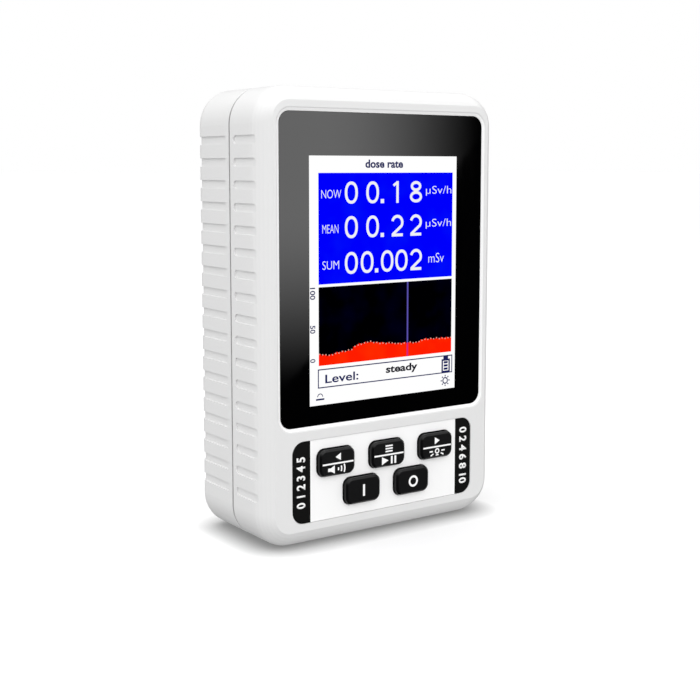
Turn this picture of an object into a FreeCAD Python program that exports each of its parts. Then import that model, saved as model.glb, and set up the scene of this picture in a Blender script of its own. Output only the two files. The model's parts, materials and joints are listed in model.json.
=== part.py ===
"""Handheld geiger counter: a two-shell case with a display, five keys and its electronics.

Millimetres. X is to the right seen from the front, the front faces -Y and Z is up. The seam
between the two shells is the plane Y = 0, and the case stands on the plane Z = 0. The key tops
are as far in front of the seam as the back of the case is behind it, so the origin is the
middle of the bottom of the whole object's box.
"""

import FreeCAD
import Part
import math
import os
import re

import Sketcher

# Name, value and meaning of each driving dimension, in millimetres unless the note says else.
SIZES = [
    ("case_width", 77, "outside width of the case"),
    ("case_height", 120, "outside height of the case"),
    ("front_depth", 16.8, "from the seam to the front face"),
    ("rear_depth", 18.2, "from the seam to the back face"),
    ("case_round", 9.8, "radius of the case's corners seen from the front"),
    ("wall", 2.3, "thickness of the side walls"),
    ("front_wall", 3, "thickness of the front wall"),
    ("rear_wall", 2.2, "thickness of the back wall"),
    ("rear_round", 3.5, "radius of the edge round the back"),
    ("seam_gap", 0.6, "width of the open groove along the seam"),
    ("seam_gap_depth", 0.8, "depth of the open groove along the seam"),
    ("seam_bevel", 0.15, "bevel on both sides of the groove along the seam"),
    ("chamber_shelf", 0.8, "from the band's foot back to the wide chamber's end"),
    ("plateau_wall", 2, "thickness of the walls beside the plateau"),
    ("lip_length", 2, "how far the rear shell's lip reaches into the front shell"),
    ("lip_wall", 0.8, "thickness of the lip"),
    ("lip_gap", 0.1, "gap between the lip and the front shell"),
    ("band_depth", 6, "depth of the rounded band round the front"),
    ("band_sweep", 60, "degrees that the band turns through before it meets the flat front"),
    ("band_side", 3.3, "width of the band at the sides seen from the front"),
    ("band_top", 3.8, "height of the band at the top seen from the front"),
    ("band_foot", 4.6, "height of the band at the bottom seen from the front"),
    ("plateau_round", 4.8, "corner radius of the flat front face"),
    ("plateau_edge", 0.3, "radius of the edge of the flat front face"),
    ("groove_count", 17, "number of grip grooves on each side of each shell"),
    ("groove_pitch", 5.75, "distance between grip grooves"),
    ("groove_lowest", 14.3, "height of the lowest grip groove"),
    ("groove_height", 2.2, "height of a grip groove"),
    ("groove_depth", 0.4, "depth of a grip groove"),
    ("groove_round", 1, "radius of the ends of the front shell's grooves"),
    ("front_groove_start", 2.4, "from the seam to the front shell's grooves"),
    ("front_groove_runout", 2.4, "how far the front shell's grooves run into the band"),
    ("rear_groove_start", 1.8, "from the seam to the rear shell's grooves"),
    ("rear_groove_wrap", 2.2, "how far a groove runs onto the flat of the back"),
    ("lens_width", 66.5, "width of the display lens"),
    ("lens_height", 81.1, "height of the display lens"),
    ("lens_round", 3.2, "corner radius of the display lens"),
    ("lens_middle", 72.8, "height of the lens's middle above the base"),
    ("lens_thick", 1.2, "thickness of the lens"),
    ("lens_inset", 0.5, "depth of the lens below the front face"),
    ("lens_bevel", 1.05, "width of the bevel round the lens"),
    ("lens_gap", 0.1, "gap between the lens and its pocket"),
    ("gasket_thick", 0.3, "thickness of the adhesive gasket behind the lens"),
    ("gasket_border", 5, "width of the adhesive gasket"),
    ("screen_width", 48.6, "width of the display's picture"),
    ("screen_height", 64.8, "height of the display's picture"),
    ("screen_middle", 69.85, "height of the picture's middle above the base"),
    ("screen_margin", 1.2, "opening in the shell round the picture"),
    ("panel_width", 55, "width of the display panel"),
    ("panel_height", 77.7, "height of the display panel"),
    ("panel_middle", 66.6, "height of the panel's middle above the base"),
    ("panel_thick", 1.2, "thickness of the display panel's glass"),
    ("panel_round", 0.5, "corner radius of the display panel"),
    ("tray_thick", 1.6, "thickness of the backlight tray behind the panel"),
    ("strip_width", 6, "width of the foam strips behind the display"),
    ("strip_height", 54, "height of the foam strips"),
    ("strip_across", 23.5, "foam strips' distance from the middle"),
    ("strip_middle", 74.6, "height of the foam strips' middle"),
    ("flex_width", 18, "width of the display's flex ribbon"),
    ("flex_sheet", 0.2, "thickness of the flex ribbon"),
    ("flex_drop", 1.1, "how far the ribbon hangs below the panel"),
    ("flex_inset", 0.5, "from the panel's front to the ribbon"),
    ("connector_width", 22, "width of the display connector"),
    ("connector_height", 4.5, "height of the display connector"),
    ("connector_depth", 1.4, "depth of the display connector"),
    ("connector_foot", 33, "height of the display connector's lower edge"),
    ("overlay_width", 60, "width of the keypad overlay"),
    ("overlay_height", 21.8, "height of the keypad overlay"),
    ("overlay_round", 3.4, "corner radius of the keypad overlay"),
    ("overlay_middle", 17.6, "height of the overlay's middle above the base"),
    ("overlay_thick", 0.6, "thickness of the keypad overlay"),
    ("overlay_inset", 0.2, "depth of the overlay below the front face"),
    ("overlay_gap", 0.1, "gap round the overlay in its recess"),
    ("key_width", 11.2, "width of a key"),
    ("key_height", 7.1, "height of a key"),
    ("key_round", 2, "corner radius of a key"),
    ("key_bevel", 0.5, "bevel round the top of a key"),
    ("key_proud", 1.4, "how far a key stands out of the front face"),
    ("key_pitch", 16.7, "distance between keys in a row"),
    ("key_upper_row", 22.05, "height of the three upper keys above the base"),
    ("key_lower_row", 13.3, "height of the two lower keys above the base"),
    ("key_gap", 0.3, "gap round a key in its hole"),
    ("key_travel", 0.8, "how far a key can be pressed"),
    ("tab_width", 13.6, "width over the tabs that hold a key in"),
    ("tab_height", 7.7, "height of a key's tabs"),
    ("tab_thick", 1, "thickness of a key's tabs"),
    ("tab_round", 0.6, "corner radius of a key's tabs"),
    ("tab_gap", 0.1, "gap between a key's tabs and the front wall"),
    ("stem_width", 3, "diameter of a key's stem"),
    ("plunger_width", 3.4, "diameter of a switch's plunger"),
    ("plunger_length", 1.9, "length of a switch's plunger"),
    ("plunger_gap", 0.2, "gap round a plunger in its switch"),
    ("switch_width", 6, "width and height of a switch"),
    ("switch_depth", 2.6, "depth of a switch on the board"),
    ("switch_floor", 0.9, "thickness of a switch's floor"),
    ("switch_round", 0.4, "corner radius of a switch"),
    ("plunger_proud", 1.1, "how far a plunger stands out of its switch"),
    ("board_width", 55.6, "width of the main board"),
    ("board_foot", 4.5, "height of the board's lower edge above the base"),
    ("board_height", 107.5, "height of the main board"),
    ("board_thick", 1.6, "thickness of the main board"),
    ("board_round", 1, "corner radius of the main board"),
    ("board_front", 8.5, "from the seam forward to the board's front"),
    ("board_post_across", 24.5, "board screws' distance from the middle"),
    ("board_post_low", 10.5, "height of the lower board screws"),
    ("board_post_high", 109, "height of the upper board screws"),
    ("board_post_width", 4.8, "diameter of the posts under the board"),
    ("board_screw_width", 1.8, "diameter of a board screw's thread"),
    ("board_screw_length", 5, "length of a board screw's thread"),
    ("board_hole_gap", 0.2, "gap round a board screw in the board"),
    ("board_head_width", 3.6, "diameter of a board screw's head"),
    ("board_head_thick", 1.4, "thickness of a board screw's head"),
    ("boss_across", 31.2, "case screws' distance from the middle"),
    ("boss_inset", 8.4, "case screws' distance from the top and the bottom"),
    ("boss_width", 6.4, "diameter of the case's screw bosses"),
    ("boss_wall", 3, "thickness under a case screw's head"),
    ("bore_end_gap", 1, "empty end of a case screw's bore"),
    ("case_screw_width", 2.3, "diameter of a case screw's thread"),
    ("case_screw_reach", 8, "how far a case screw reaches into the front shell"),
    ("case_screw_gap", 0.25, "gap round a case screw in the rear shell"),
    ("case_head_width", 4.4, "diameter of a case screw's head"),
    ("case_head_thick", 1.8, "thickness of a case screw's head"),
    ("screw_well_width", 5, "diameter of the well over a case screw"),
    ("slot_size", 0.7, "width of a screw's cross slot"),
    ("slot_share", 0.6, "length of a screw's cross slot as a share of its head"),
    ("port_width", 8.94, "width of the charging port's shell"),
    ("port_thick", 3.26, "thickness of the charging port's shell"),
    ("port_length", 7.35, "length of the charging port's shell"),
    ("port_foot", 0.6, "height of the port's mouth above the base"),
    ("port_sheet", 0.3, "thickness of the port's sheet metal"),
    ("port_back", 1.5, "thickness of the port's closed end"),
    ("port_flat", 0.04, "straight part of the port's rounded ends"),
    ("port_tongue_width", 6.7, "width of the port's tongue"),
    ("port_tongue_thick", 0.7, "thickness of the port's tongue"),
    ("port_tongue_length", 4.4, "length of the port's tongue"),
    ("port_tongue_round", 0.2, "corner radius of the port's tongue"),
    ("port_gap", 0.25, "gap round the port in the case's bottom"),
    ("grille_middle", 16.5, "height of the buzzer and its grille"),
    ("grille_hole", 1.5, "diameter of a grille hole"),
    ("grille_ring", 3.2, "distance between rings of grille holes"),
    ("label_width", 46, "width of the blank label recess in the back"),
    ("label_height", 30, "height of the blank label recess in the back"),
    ("label_middle", 66, "height of the label recess's middle"),
    ("label_depth", 0.4, "depth of the label recess"),
    ("buzzer_width", 12, "diameter of the buzzer"),
    ("buzzer_depth", 8.5, "depth of the buzzer"),
    ("buzzer_hole", 2.5, "diameter of the buzzer's sound hole"),
    ("buzzer_hole_depth", 2, "depth of the buzzer's sound hole"),
    ("tube_width", 10, "diameter of the detector tube"),
    ("tube_wall", 0.6, "thickness of the tube's glass"),
    ("tube_foot", 24, "height of the glass's lower end"),
    ("tube_length", 76, "length of the glass"),
    ("tube_across", 17, "tube axis's distance from the middle, to the left"),
    ("tube_behind", 1, "tube axis's distance behind the seam"),
    ("cap_width", 7.4, "diameter of the tube's end caps"),
    ("cap_length", 7, "length of the tube's end caps"),
    ("cap_rim", 0.8, "thickness of the rim on an end cap"),
    ("cathode_wall", 0.2, "thickness of the tube's cathode sleeve"),
    ("cathode_inset", 5, "distance from the glass's ends to the cathode"),
    ("anode_width", 0.4, "diameter of the tube's anode wire"),
    ("clip_height", 4, "height of a tube clip"),
    ("clip_grip", 1.6, "how far a clip reaches past the tube's axis"),
    ("clip_sheet", 0.6, "thickness of a clip's sheet metal"),
    ("core_across", 14, "transformer's distance to the right"),
    ("core_middle", 97, "height of the transformer's middle"),
    ("core_width", 12, "diameter of the transformer core's flanges"),
    ("core_flange", 1.5, "thickness of the transformer core's flanges"),
    ("core_post", 5, "diameter of the transformer core's post"),
    ("winding_width", 10.8, "diameter of the transformer's winding"),
    ("winding_length", 5, "length of the transformer's winding"),
    ("film_across", 1, "film capacitor's distance to the right"),
    ("film_middle", 104, "height of the film capacitor's middle"),
    ("film_width", 11, "width of the film capacitor"),
    ("film_height", 5, "height of the film capacitor"),
    ("film_depth", 9, "depth of the film capacitor"),
    ("film_round", 0.8, "corner radius of the film capacitor"),
    ("diode_count", 3, "number of rectifier diodes"),
    ("diode_width", 2.4, "diameter of a rectifier diode"),
    ("diode_length", 5, "length of a rectifier diode"),
    ("diode_first", -3, "first diode's distance to the right"),
    ("diode_spacing", 4, "distance between the diodes"),
    ("diode_foot", 90, "height of the diodes' lower ends"),
    ("chip_across", 8, "processor's and crystal's distance to the right"),
    ("chip_middle", 58, "height of the processor's middle"),
    ("chip_width", 10, "width and height of the processor"),
    ("chip_thick", 1.4, "thickness of the processor"),
    ("chip_round", 0.3, "corner radius of the processor"),
    ("crystal_middle", 70, "height of the clock crystal's middle"),
    ("crystal_width", 11, "width of the clock crystal"),
    ("crystal_height", 4.6, "height of the clock crystal"),
    ("crystal_round", 2.2, "corner radius of the clock crystal"),
    ("crystal_depth", 3.5, "depth of the clock crystal"),
    ("battery_width", 38, "width of the battery"),
    ("battery_height", 54, "height of the battery"),
    ("battery_thick", 8, "thickness of the battery"),
    ("battery_across", 11, "battery middle's distance to the right"),
    ("battery_middle", 57, "height of the battery's middle"),
    ("battery_round", 2, "corner radius of the battery"),
    ("pad_thick", 1, "thickness of the foam under the battery"),
    ("pad_inset", 2, "distance from the battery's edge to its foam"),
    ("socket_across", 20, "battery socket's distance to the right"),
    ("socket_middle", 22, "height of the battery socket"),
    ("socket_width", 8, "width of the battery socket"),
    ("socket_height", 5, "height of the battery socket"),
    ("socket_depth", 6, "depth of the battery socket"),
    ("socket_wall", 0.8, "thickness of the battery socket's walls"),
    ("socket_floor", 2, "thickness of the battery socket's floor"),
    ("socket_round", 0.4, "corner radius of the battery socket"),
    ("plug_depth", 5, "depth of the battery plug"),
    ("plug_gap", 0.1, "gap round the plug in its socket"),
    ("plug_round", 0.2, "corner radius of the plug and of the room for it"),
    ("lead_width", 1.2, "diameter of a battery lead"),
    ("lead_spacing", 2, "distance between the battery leads"),
    ("lead_bend", 3, "radius of the leads' bend"),
]

SHEET_NAME = "sizes"
START_HALF = 10  # a new sketch's outline is a square this size until its expressions apply
START_BEND = 2
QUARTER_TURN = math.pi / 2
ALONG_NORMAL = FreeCAD.Vector(0, 0, 1)
OVERSHOOT = 1  # an open groove's outline reaches this far outside the case
BAND_SLICES = 6  # the rounded band is made of this many slices
SMALL = 1e-6

document = FreeCAD.newDocument("geiger_counter")
sheet = document.addObject("Spreadsheet::Sheet", SHEET_NAME)
subparts = []


def fill_sheet():
    """Write every driving dimension into the sheet, with its name as alias."""
    for row, (name, value, note) in enumerate(SIZES, start=1):
        sheet.set(f"A{row}", name)
        sheet.set(f"B{row}", str(value))
        sheet.set(f"C{row}", note)
        sheet.setAlias(f"B{row}", name)
    document.recompute()


def size(name):
    """One driving dimension as a number."""
    return float(sheet.get(name))


def bound(formula):
    """The formula as an expression whose dimension names are read from the sheet."""
    names = {name for name, _, _ in SIZES}

    def from_sheet(word):
        text = word.group()
        return f"{SHEET_NAME}.{text}" if text in names else text

    return re.sub(r"[a-z_]+", from_sheet, formula)


def bind(thing, **formulas):
    """Bind properties of an object to formulas on the sheet's dimensions."""
    for name, formula in formulas.items():
        thing.setExpression(name, bound(formula))


def place(thing, x="0", y="0", z="0", where="Placement"):
    """Bind an object's position to three formulas."""
    for axis, formula in zip("xyz", (x, y, z)):
        thing.setExpression(f"{where}.Base.{axis}", bound(formula))


def keep(thing, label):
    """Name an object and note it as one of the sub-parts."""
    thing.Label = label
    subparts.append(thing)
    return thing


# Sketches. Each starts as a fixed outline and takes its real size from its expressions.


def origin_plane(body, role):
    """One of the body's own origin planes."""
    return [item for item in body.Origin.OriginFeatures if item.Role == role][0]


def new_sketch(body, name, plane, x="0", y="0", lift="0"):
    """An empty sketch on one of the body's origin planes, moved in it and along its normal."""
    sketch = body.newObject("Sketcher::SketchObject", name)
    sketch.AttachmentSupport = [(origin_plane(body, plane), "")]
    sketch.MapMode = "FlatFace"
    place(sketch, x, y, lift, where="AttachmentOffset")
    return sketch


def constrain(sketch, formula, name, *constraint):
    """Add a driving constraint whose value is a formula on the sheet's dimensions."""
    start = START_BEND if constraint[0] in ("Radius", "Diameter") else START_HALF
    index = sketch.addConstraint(Sketcher.Constraint(*constraint, start))
    sketch.renameConstraint(index, name)
    sketch.setExpression(f"Constraints.{name}", bound(formula))


def rounded_sketch(body, name, plane, width, height, radius, x="0", y="0", lift="0"):
    """A rounded rectangle about the sketch's origin."""
    sketch = new_sketch(body, name, plane, x, y, lift)
    inner = START_HALF - START_BEND
    turn = FreeCAD.Rotation(ALONG_NORMAL, 90)
    side_start = FreeCAD.Vector(START_HALF, -inner, 0)
    side_end = FreeCAD.Vector(START_HALF, inner, 0)
    corner = FreeCAD.Vector(inner, inner, 0)
    for step in range(4):
        sketch.addGeometry(Part.LineSegment(side_start, side_end), False)
        circle = Part.Circle(corner, ALONG_NORMAL, START_BEND)
        arc = Part.ArcOfCircle(circle, step * QUARTER_TURN, (step + 1) * QUARTER_TURN)
        sketch.addGeometry(arc, False)
        side_start = turn.multVec(side_start)
        side_end = turn.multVec(side_end)
        corner = turn.multVec(corner)
    for piece in range(8):
        sketch.addConstraint(Sketcher.Constraint("Tangent", piece, 2, (piece + 1) % 8, 1))
    for piece, direction in ((0, "Vertical"), (2, "Horizontal"), (4, "Vertical"), (6, "Horizontal")):
        sketch.addConstraint(Sketcher.Constraint(direction, piece))
    for piece in (3, 5, 7):
        sketch.addConstraint(Sketcher.Constraint("Equal", 1, piece))
    constrain(sketch, radius, "bend", "Radius", 1)
    constrain(sketch, f"({width}) / 2", "right", "DistanceX", -1, 1, 0, 1)
    constrain(sketch, f"({width}) / 2", "left", "DistanceX", 4, 1, -1, 1)
    constrain(sketch, f"({height}) / 2", "top", "DistanceY", -1, 1, 2, 1)
    constrain(sketch, f"({height}) / 2", "foot", "DistanceY", 6, 1, -1, 1)
    return sketch


def round_sketch(body, name, plane, diameter, x="0", y="0", lift="0"):
    """A circle about the sketch's origin."""
    sketch = new_sketch(body, name, plane, x, y, lift)
    circle = Part.Circle(FreeCAD.Vector(0, 0, 0), ALONG_NORMAL, START_BEND)
    sketch.addGeometry(circle, False)
    sketch.addConstraint(Sketcher.Constraint("Coincident", 0, 3, -1, 1))
    constrain(sketch, diameter, "across", "Diameter", 0)
    return sketch


def polygon_sketch(body, name, plane, points, lift="0"):
    """A closed outline of straight lines through points given as pairs of formulas."""
    sketch = new_sketch(body, name, plane, lift=lift)
    count = len(points)
    spread = [FreeCAD.Vector(START_HALF + step, step * step, 0) for step in range(count)]
    for step in range(count):
        sketch.addGeometry(Part.LineSegment(spread[step], spread[(step + 1) % count]), False)
    for step, (across, along) in enumerate(points):
        sketch.addConstraint(Sketcher.Constraint("Coincident", step, 2, (step + 1) % count, 1))
        constrain(sketch, across, f"across_{step}", "DistanceX", -1, 1, step, 1)
        constrain(sketch, along, f"along_{step}", "DistanceY", -1, 1, step, 1)
    return sketch


# Features. A front sketch lies in an XZ plane, whose normal is -Y: a pad goes forward and a
# pocket goes back, and backward=True turns either round.


def new_body(name):
    """An empty PartDesign body."""
    return document.addObject("PartDesign::Body", name)


def pad(body, name, sketch, length, backward=False):
    """Extrude a sketch along its normal, or against it."""
    feature = body.newObject("PartDesign::Pad", name)
    feature.Profile = sketch
    feature.Reversed = backward
    bind(feature, Length=length)
    return feature


def pocket(body, name, sketch, length, backward=False):
    """Cut a sketch out against its normal, or along it."""
    feature = body.newObject("PartDesign::Pocket", name)
    feature.Profile = sketch
    feature.Reversed = backward
    bind(feature, Length=length)
    return feature


def loft(body, name, kind, outlines):
    """Add or cut the body through two or more sketches, straight from each to the next."""
    feature = body.newObject(f"PartDesign::{kind}Loft", name)
    feature.Profile = outlines[0]
    feature.Sections = outlines[1:]
    feature.Ruled = True
    return feature


def edges_in_plane(feature, y):
    """Names of a shape's edges that lie in the plane at this Y."""
    names = []
    for index, edge in enumerate(feature.Shape.Edges, start=1):
        box = edge.BoundBox
        if abs(box.YMin - y) < SMALL and abs(box.YMax - y) < SMALL:
            names.append(f"Edge{index}")
    return names


def soften(body, name, kind, feature, y, formula):
    """Fillet or chamfer all edges of the body that lie in the plane at this Y."""
    document.recompute()
    softened = body.newObject(f"PartDesign::{kind}", name)
    softened.Base = (feature, edges_in_plane(feature, y))
    bind(softened, **{"Radius" if kind == "Fillet" else "Size": formula})
    return softened


def repeat_up_both_sides(body, name, groove, upward_axis):
    """Repeat a grip groove up the side and mirror the row to the other side."""
    document.recompute()
    rows = body.newObject("PartDesign::MultiTransform", name)
    rows.Originals = [groove]
    upward = body.newObject("PartDesign::LinearPattern", f"{name}_upward")
    upward.Direction = (groove.Profile[0], [upward_axis])
    bind(upward, Length="(groove_count - 1) * groove_pitch", Occurrences="groove_count")
    across = body.newObject("PartDesign::Mirrored", f"{name}_across")
    across.MirrorPlane = (origin_plane(body, "YZ_Plane"), [""])
    rows.Transformations = [upward, across]
    body.Tip = rows


def slab(label, width, height, radius, thickness, x="0", y="0", z="0"):
    """A rounded plate facing the front: its front face's middle is at x, y, z."""
    body = new_body(label)
    outline = rounded_sketch(body, f"{label}_outline", "XZ_Plane", width, height, radius)
    pad(body, f"{label}_plate", outline, thickness, backward=True)
    place(body, x, y, z)
    return body


def rod(name, diameter, length, x="0", y="0", z="0", upright=False):
    """A cylinder from x, y, z towards the back, or upward."""
    cylinder = document.addObject("Part::Cylinder", name)
    bind(cylinder, Radius=f"({diameter}) / 2", Height=length)
    if not upright:
        cylinder.Placement.Rotation = FreeCAD.Rotation(FreeCAD.Vector(1, 0, 0), -90)
    place(cylinder, x, y, z)
    return cylinder


def block(name, width, depth, height, x="0", y="0", z="0"):
    """A box whose middle is at x, z and whose front is at y."""
    box = document.addObject("Part::Box", name)
    bind(box, Length=width, Width=depth, Height=height)
    place(box, f"{x} - ({width}) / 2", y, f"{z} - ({height}) / 2")
    return box


def fused(name, pieces):
    """One solid from several."""
    whole = document.addObject("Part::MultiFuse", name)
    whole.Shapes = pieces
    return whole


def cut(name, base, tool):
    """The base without the tool."""
    rest = document.addObject("Part::Cut", name)
    rest.Base = base
    rest.Tool = tool
    return rest


def grouped(label, pieces):
    """Identical solids in one sub-part."""
    group = document.addObject("Part::Compound", label)
    group.Links = pieces
    return keep(group, label)


# Places that several sub-parts share.

KEYS = {
    "sound_key": ("-key_pitch", "key_upper_row"),
    "play_key": ("0", "key_upper_row"),
    "light_key": ("key_pitch", "key_upper_row"),
    "on_key": ("-key_pitch / 2", "key_lower_row"),
    "off_key": ("key_pitch / 2", "key_lower_row"),
}
BOSSES = [
    (across, height)
    for across in ("-boss_across", "boss_across")
    for height in ("boss_inset", "case_height - boss_inset")
]
BOARD_POSTS = [
    (across, height)
    for across in ("-board_post_across", "board_post_across")
    for height in ("board_post_low", "board_post_high")
]
FRONT_INSIDE = "front_depth - front_wall"  # from the seam to the inside of the front wall
REAR_INSIDE = "rear_depth - rear_wall"
BOARD_BACK = "-board_front + board_thick"
SWITCH_FRONT = "-board_front - switch_depth"
PLUNGER_FRONT = f"{SWITCH_FRONT} - plunger_proud"
PORT_BEHIND = f"{BOARD_BACK} + port_thick / 2"
SCREW_SEAT = "boss_wall"  # a case screw's head sits this far behind the seam
TUBE_X = "-tube_across"


def case_outline(body, name, inset, lift):
    """The case's outline seen from the front, made smaller by inset."""
    width = f"case_width - 2 * ({inset})"
    height = f"case_height - 2 * ({inset})"
    radius = f"case_round - ({inset})"
    return rounded_sketch(
        body, name, "XZ_Plane", width, height, radius, y="case_height / 2", lift=lift
    )


def plateau_outline(body, name, inset, radius, lift):
    """The outline of the flat front face, made smaller by inset."""
    width = f"case_width - 2 * band_side - 2 * ({inset})"
    height = f"case_height - band_top - band_foot - 2 * ({inset})"
    middle = "(case_height - band_top + band_foot) / 2"
    return rounded_sketch(body, name, "XZ_Plane", width, height, radius, y=middle, lift=lift)


def band_outline(body, slice_):
    """One of the outlines that the rounded band goes through: 0 is at the side walls."""
    angle = f"band_sweep * {slice_} / {BAND_SLICES} * 1 deg"
    inward = f"(1 - cos({angle})) / (1 - cos(band_sweep * 1 deg))"
    forward = f"sin({angle}) / sin(band_sweep * 1 deg)"
    return rounded_sketch(
        body, f"band_outline_{slice_}", "XZ_Plane",
        f"case_width - 2 * band_side * {inward}",
        f"case_height - (band_top + band_foot) * {inward}",
        f"case_round - (case_round - plateau_round) * {inward}",
        y=f"(case_height - (band_top - band_foot) * {inward}) / 2",
        lift=f"front_depth - band_depth + band_depth * {forward}",
    )


def front_shell():
    """Front half of the case: display window, keypad recess, key holes, bosses and grooves."""
    body = new_body("front_shell")
    pad(
        body, "front_walls", case_outline(body, "front_walls_outline", "0", "seam_gap"),
        "front_depth - band_depth - seam_gap",
    )
    outlines = [band_outline(body, slice_) for slice_ in range(BAND_SLICES + 1)]
    band = loft(body, "front_band", "Additive", outlines)
    shaped = soften(body, "plateau_bend", "Fillet", band, -size("front_depth"), "plateau_edge")
    soften(body, "front_seam_bevel", "Chamfer", shaped, -size("seam_gap"), "seam_bevel")
    rim = case_outline(body, "seam_rim_outline", "seam_gap_depth", "seam_gap")
    pad(body, "seam_rim", rim, "seam_gap", backward=True)

    # Inside: a wide chamber behind, a narrower one under the plateau, and a step for the lip.
    wide = case_outline(body, "wide_chamber_outline", "wall", "0")
    pocket(body, "wide_chamber", wide, "front_depth - band_depth - chamber_shelf", backward=True)
    narrow = plateau_outline(
        body, "narrow_chamber_outline", "plateau_wall", "plateau_round - plateau_wall", "0"
    )
    pocket(body, "narrow_chamber", narrow, FRONT_INSIDE, backward=True)
    step = case_outline(body, "lip_step_outline", "wall - lip_wall - lip_gap", "0")
    pocket(body, "lip_step", step, "lip_length + lip_gap", backward=True)

    # Posts: four bosses for the case screws and four posts for the board.
    for index, (x, z) in enumerate(BOSSES):
        outline = round_sketch(
            body, f"front_boss_outline_{index}", "XZ_Plane", "boss_width", x, z, FRONT_INSIDE
        )
        pad(body, f"front_boss_{index}", outline, FRONT_INSIDE, backward=True)
        bore = round_sketch(
            body, f"front_bore_outline_{index}", "XZ_Plane", "case_screw_width", x, z, "0"
        )
        pocket(body, f"front_bore_{index}", bore, "case_screw_reach + bore_end_gap", backward=True)
    for index, (x, z) in enumerate(BOARD_POSTS):
        outline = round_sketch(
            body, f"post_outline_{index}", "XZ_Plane", "board_post_width", x, z, FRONT_INSIDE
        )
        pad(body, f"post_{index}", outline, f"{FRONT_INSIDE} - board_front", backward=True)
        bore = round_sketch(
            body, f"post_bore_outline_{index}", "XZ_Plane", "board_screw_width", x, z, "board_front"
        )
        pocket(body, f"post_bore_{index}", bore, "board_screw_length - board_thick", backward=True)

    lens_pocket(body)
    keypad_recess(body)
    front_grooves(body)
    port_hole(body)
    return keep(body, "front_shell")


def lens_pocket(body):
    """Bevelled pocket for the lens, and the opening over the display's picture."""
    fit = "lens_width + 2 * lens_gap"
    tall = "lens_height + 2 * lens_gap"
    rim = rounded_sketch(
        body, "lens_rim_outline", "XZ_Plane", f"{fit} + 2 * lens_bevel", f"{tall} + 2 * lens_bevel",
        "lens_round + lens_bevel", y="lens_middle", lift="front_depth",
    )
    floor = rounded_sketch(
        body, "lens_bevel_outline", "XZ_Plane", fit, tall, "lens_round", y="lens_middle",
        lift="front_depth - lens_inset",
    )
    loft(body, "lens_bevel", "Subtractive", [rim, floor])
    seat = rounded_sketch(
        body, "lens_seat_outline", "XZ_Plane", fit, tall, "lens_round", y="lens_middle",
        lift="front_depth",
    )
    pocket(body, "lens_seat", seat, "lens_inset + lens_thick + gasket_thick")
    opening = rounded_sketch(
        body, "screen_opening_outline", "XZ_Plane", "screen_width + 2 * screen_margin",
        "screen_height + 2 * screen_margin", "screen_margin", y="screen_middle",
        lift="front_depth",
    )
    pocket(body, "screen_opening", opening, "front_wall")


def keypad_recess(body):
    """Shallow recess for the keypad overlay, with a hole for each key."""
    recess = rounded_sketch(
        body, "keypad_recess_outline", "XZ_Plane", "overlay_width + 2 * overlay_gap",
        "overlay_height + 2 * overlay_gap", "overlay_round + overlay_gap", y="overlay_middle",
        lift="front_depth",
    )
    pocket(body, "keypad_recess", recess, "overlay_inset + overlay_thick")
    key_holes(body, "front_key_hole", "front_depth", "front_wall")


def key_holes(body, name, lift, length, shift="0"):
    """A hole with some play for each key."""
    for key, (x, z) in KEYS.items():
        hole = rounded_sketch(
            body, f"{name}_{key}_outline", "XZ_Plane", "key_width + 2 * key_gap",
            "key_height + 2 * key_gap", "key_round + key_gap", x, f"{z} - {shift}", lift,
        )
        pocket(body, f"{name}_{key}", hole, length)


def front_grooves(body):
    """Grip grooves with rounded ends along both sides of the front shell."""
    length = "front_depth - band_depth - front_groove_start + front_groove_runout"
    groove = rounded_sketch(
        body, "front_groove_outline", "YZ_Plane", length, "groove_height",
        "groove_round", f"-front_groove_start - ({length}) / 2", "groove_lowest",
        "case_width / 2",
    )
    first = pocket(body, "front_groove", groove, "groove_depth")
    repeat_up_both_sides(body, "front_groove_rows", first, "V_Axis")


def port_hole(body):
    """Hole in the bottom of the front shell for the charging port."""
    thick = "port_thick + 2 * port_gap"
    mouth = rounded_sketch(
        body, "port_hole_outline", "XY_Plane", "port_width + 2 * port_gap", thick,
        f"({thick} - port_flat) / 2", y=PORT_BEHIND,
    )
    pocket(body, "port_hole", mouth, "wall + wall", backward=True)


def rear_shell():
    """Rear half of the case: lip, screw bosses with wells, buzzer grille and grooves."""
    body = new_body("rear_shell")
    outline = case_outline(body, "rear_walls_outline", "0", "0")
    shaped = pad(body, "rear_walls", outline, "rear_depth", backward=True)
    shaped = soften(body, "rear_bend", "Fillet", shaped, size("rear_depth"), "rear_round")
    soften(body, "rear_seam_bevel", "Chamfer", shaped, 0, "seam_bevel")
    chamber = case_outline(body, "rear_chamber_outline", "wall", "0")
    pocket(body, "rear_chamber", chamber, REAR_INSIDE)

    lip = case_outline(body, "lip_outline", "wall - lip_wall", "-lip_length")
    pad(body, "lip", lip, "2 * lip_length")
    lip_bore = case_outline(body, "lip_bore_outline", "wall", "lip_length")
    pocket(body, "lip_bore", lip_bore, "2 * lip_length")

    for index, (x, z) in enumerate(BOSSES):
        post = round_sketch(
            body, f"rear_boss_outline_{index}", "XZ_Plane", "boss_width", x, z, "0"
        )
        pad(body, f"rear_boss_{index}", post, REAR_INSIDE, backward=True)
        bore = round_sketch(
            body, f"rear_bore_outline_{index}", "XZ_Plane",
            "case_screw_width + 2 * case_screw_gap", x, z, "0",
        )
        pocket(body, f"rear_bore_{index}", bore, "rear_depth")
        well = round_sketch(
            body, f"well_outline_{index}", "XZ_Plane", "screw_well_width", x, z, f"-{SCREW_SEAT}"
        )
        pocket(body, f"well_{index}", well, "rear_depth")

    label = rounded_sketch(
        body, "label_outline", "XZ_Plane", "label_width", "label_height", "wall",
        y="label_middle", lift="-rear_depth",
    )
    pocket(body, "label_recess", label, "label_depth", backward=True)
    grille(body)
    rear_grooves(body)
    return keep(body, "rear_shell")


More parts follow.
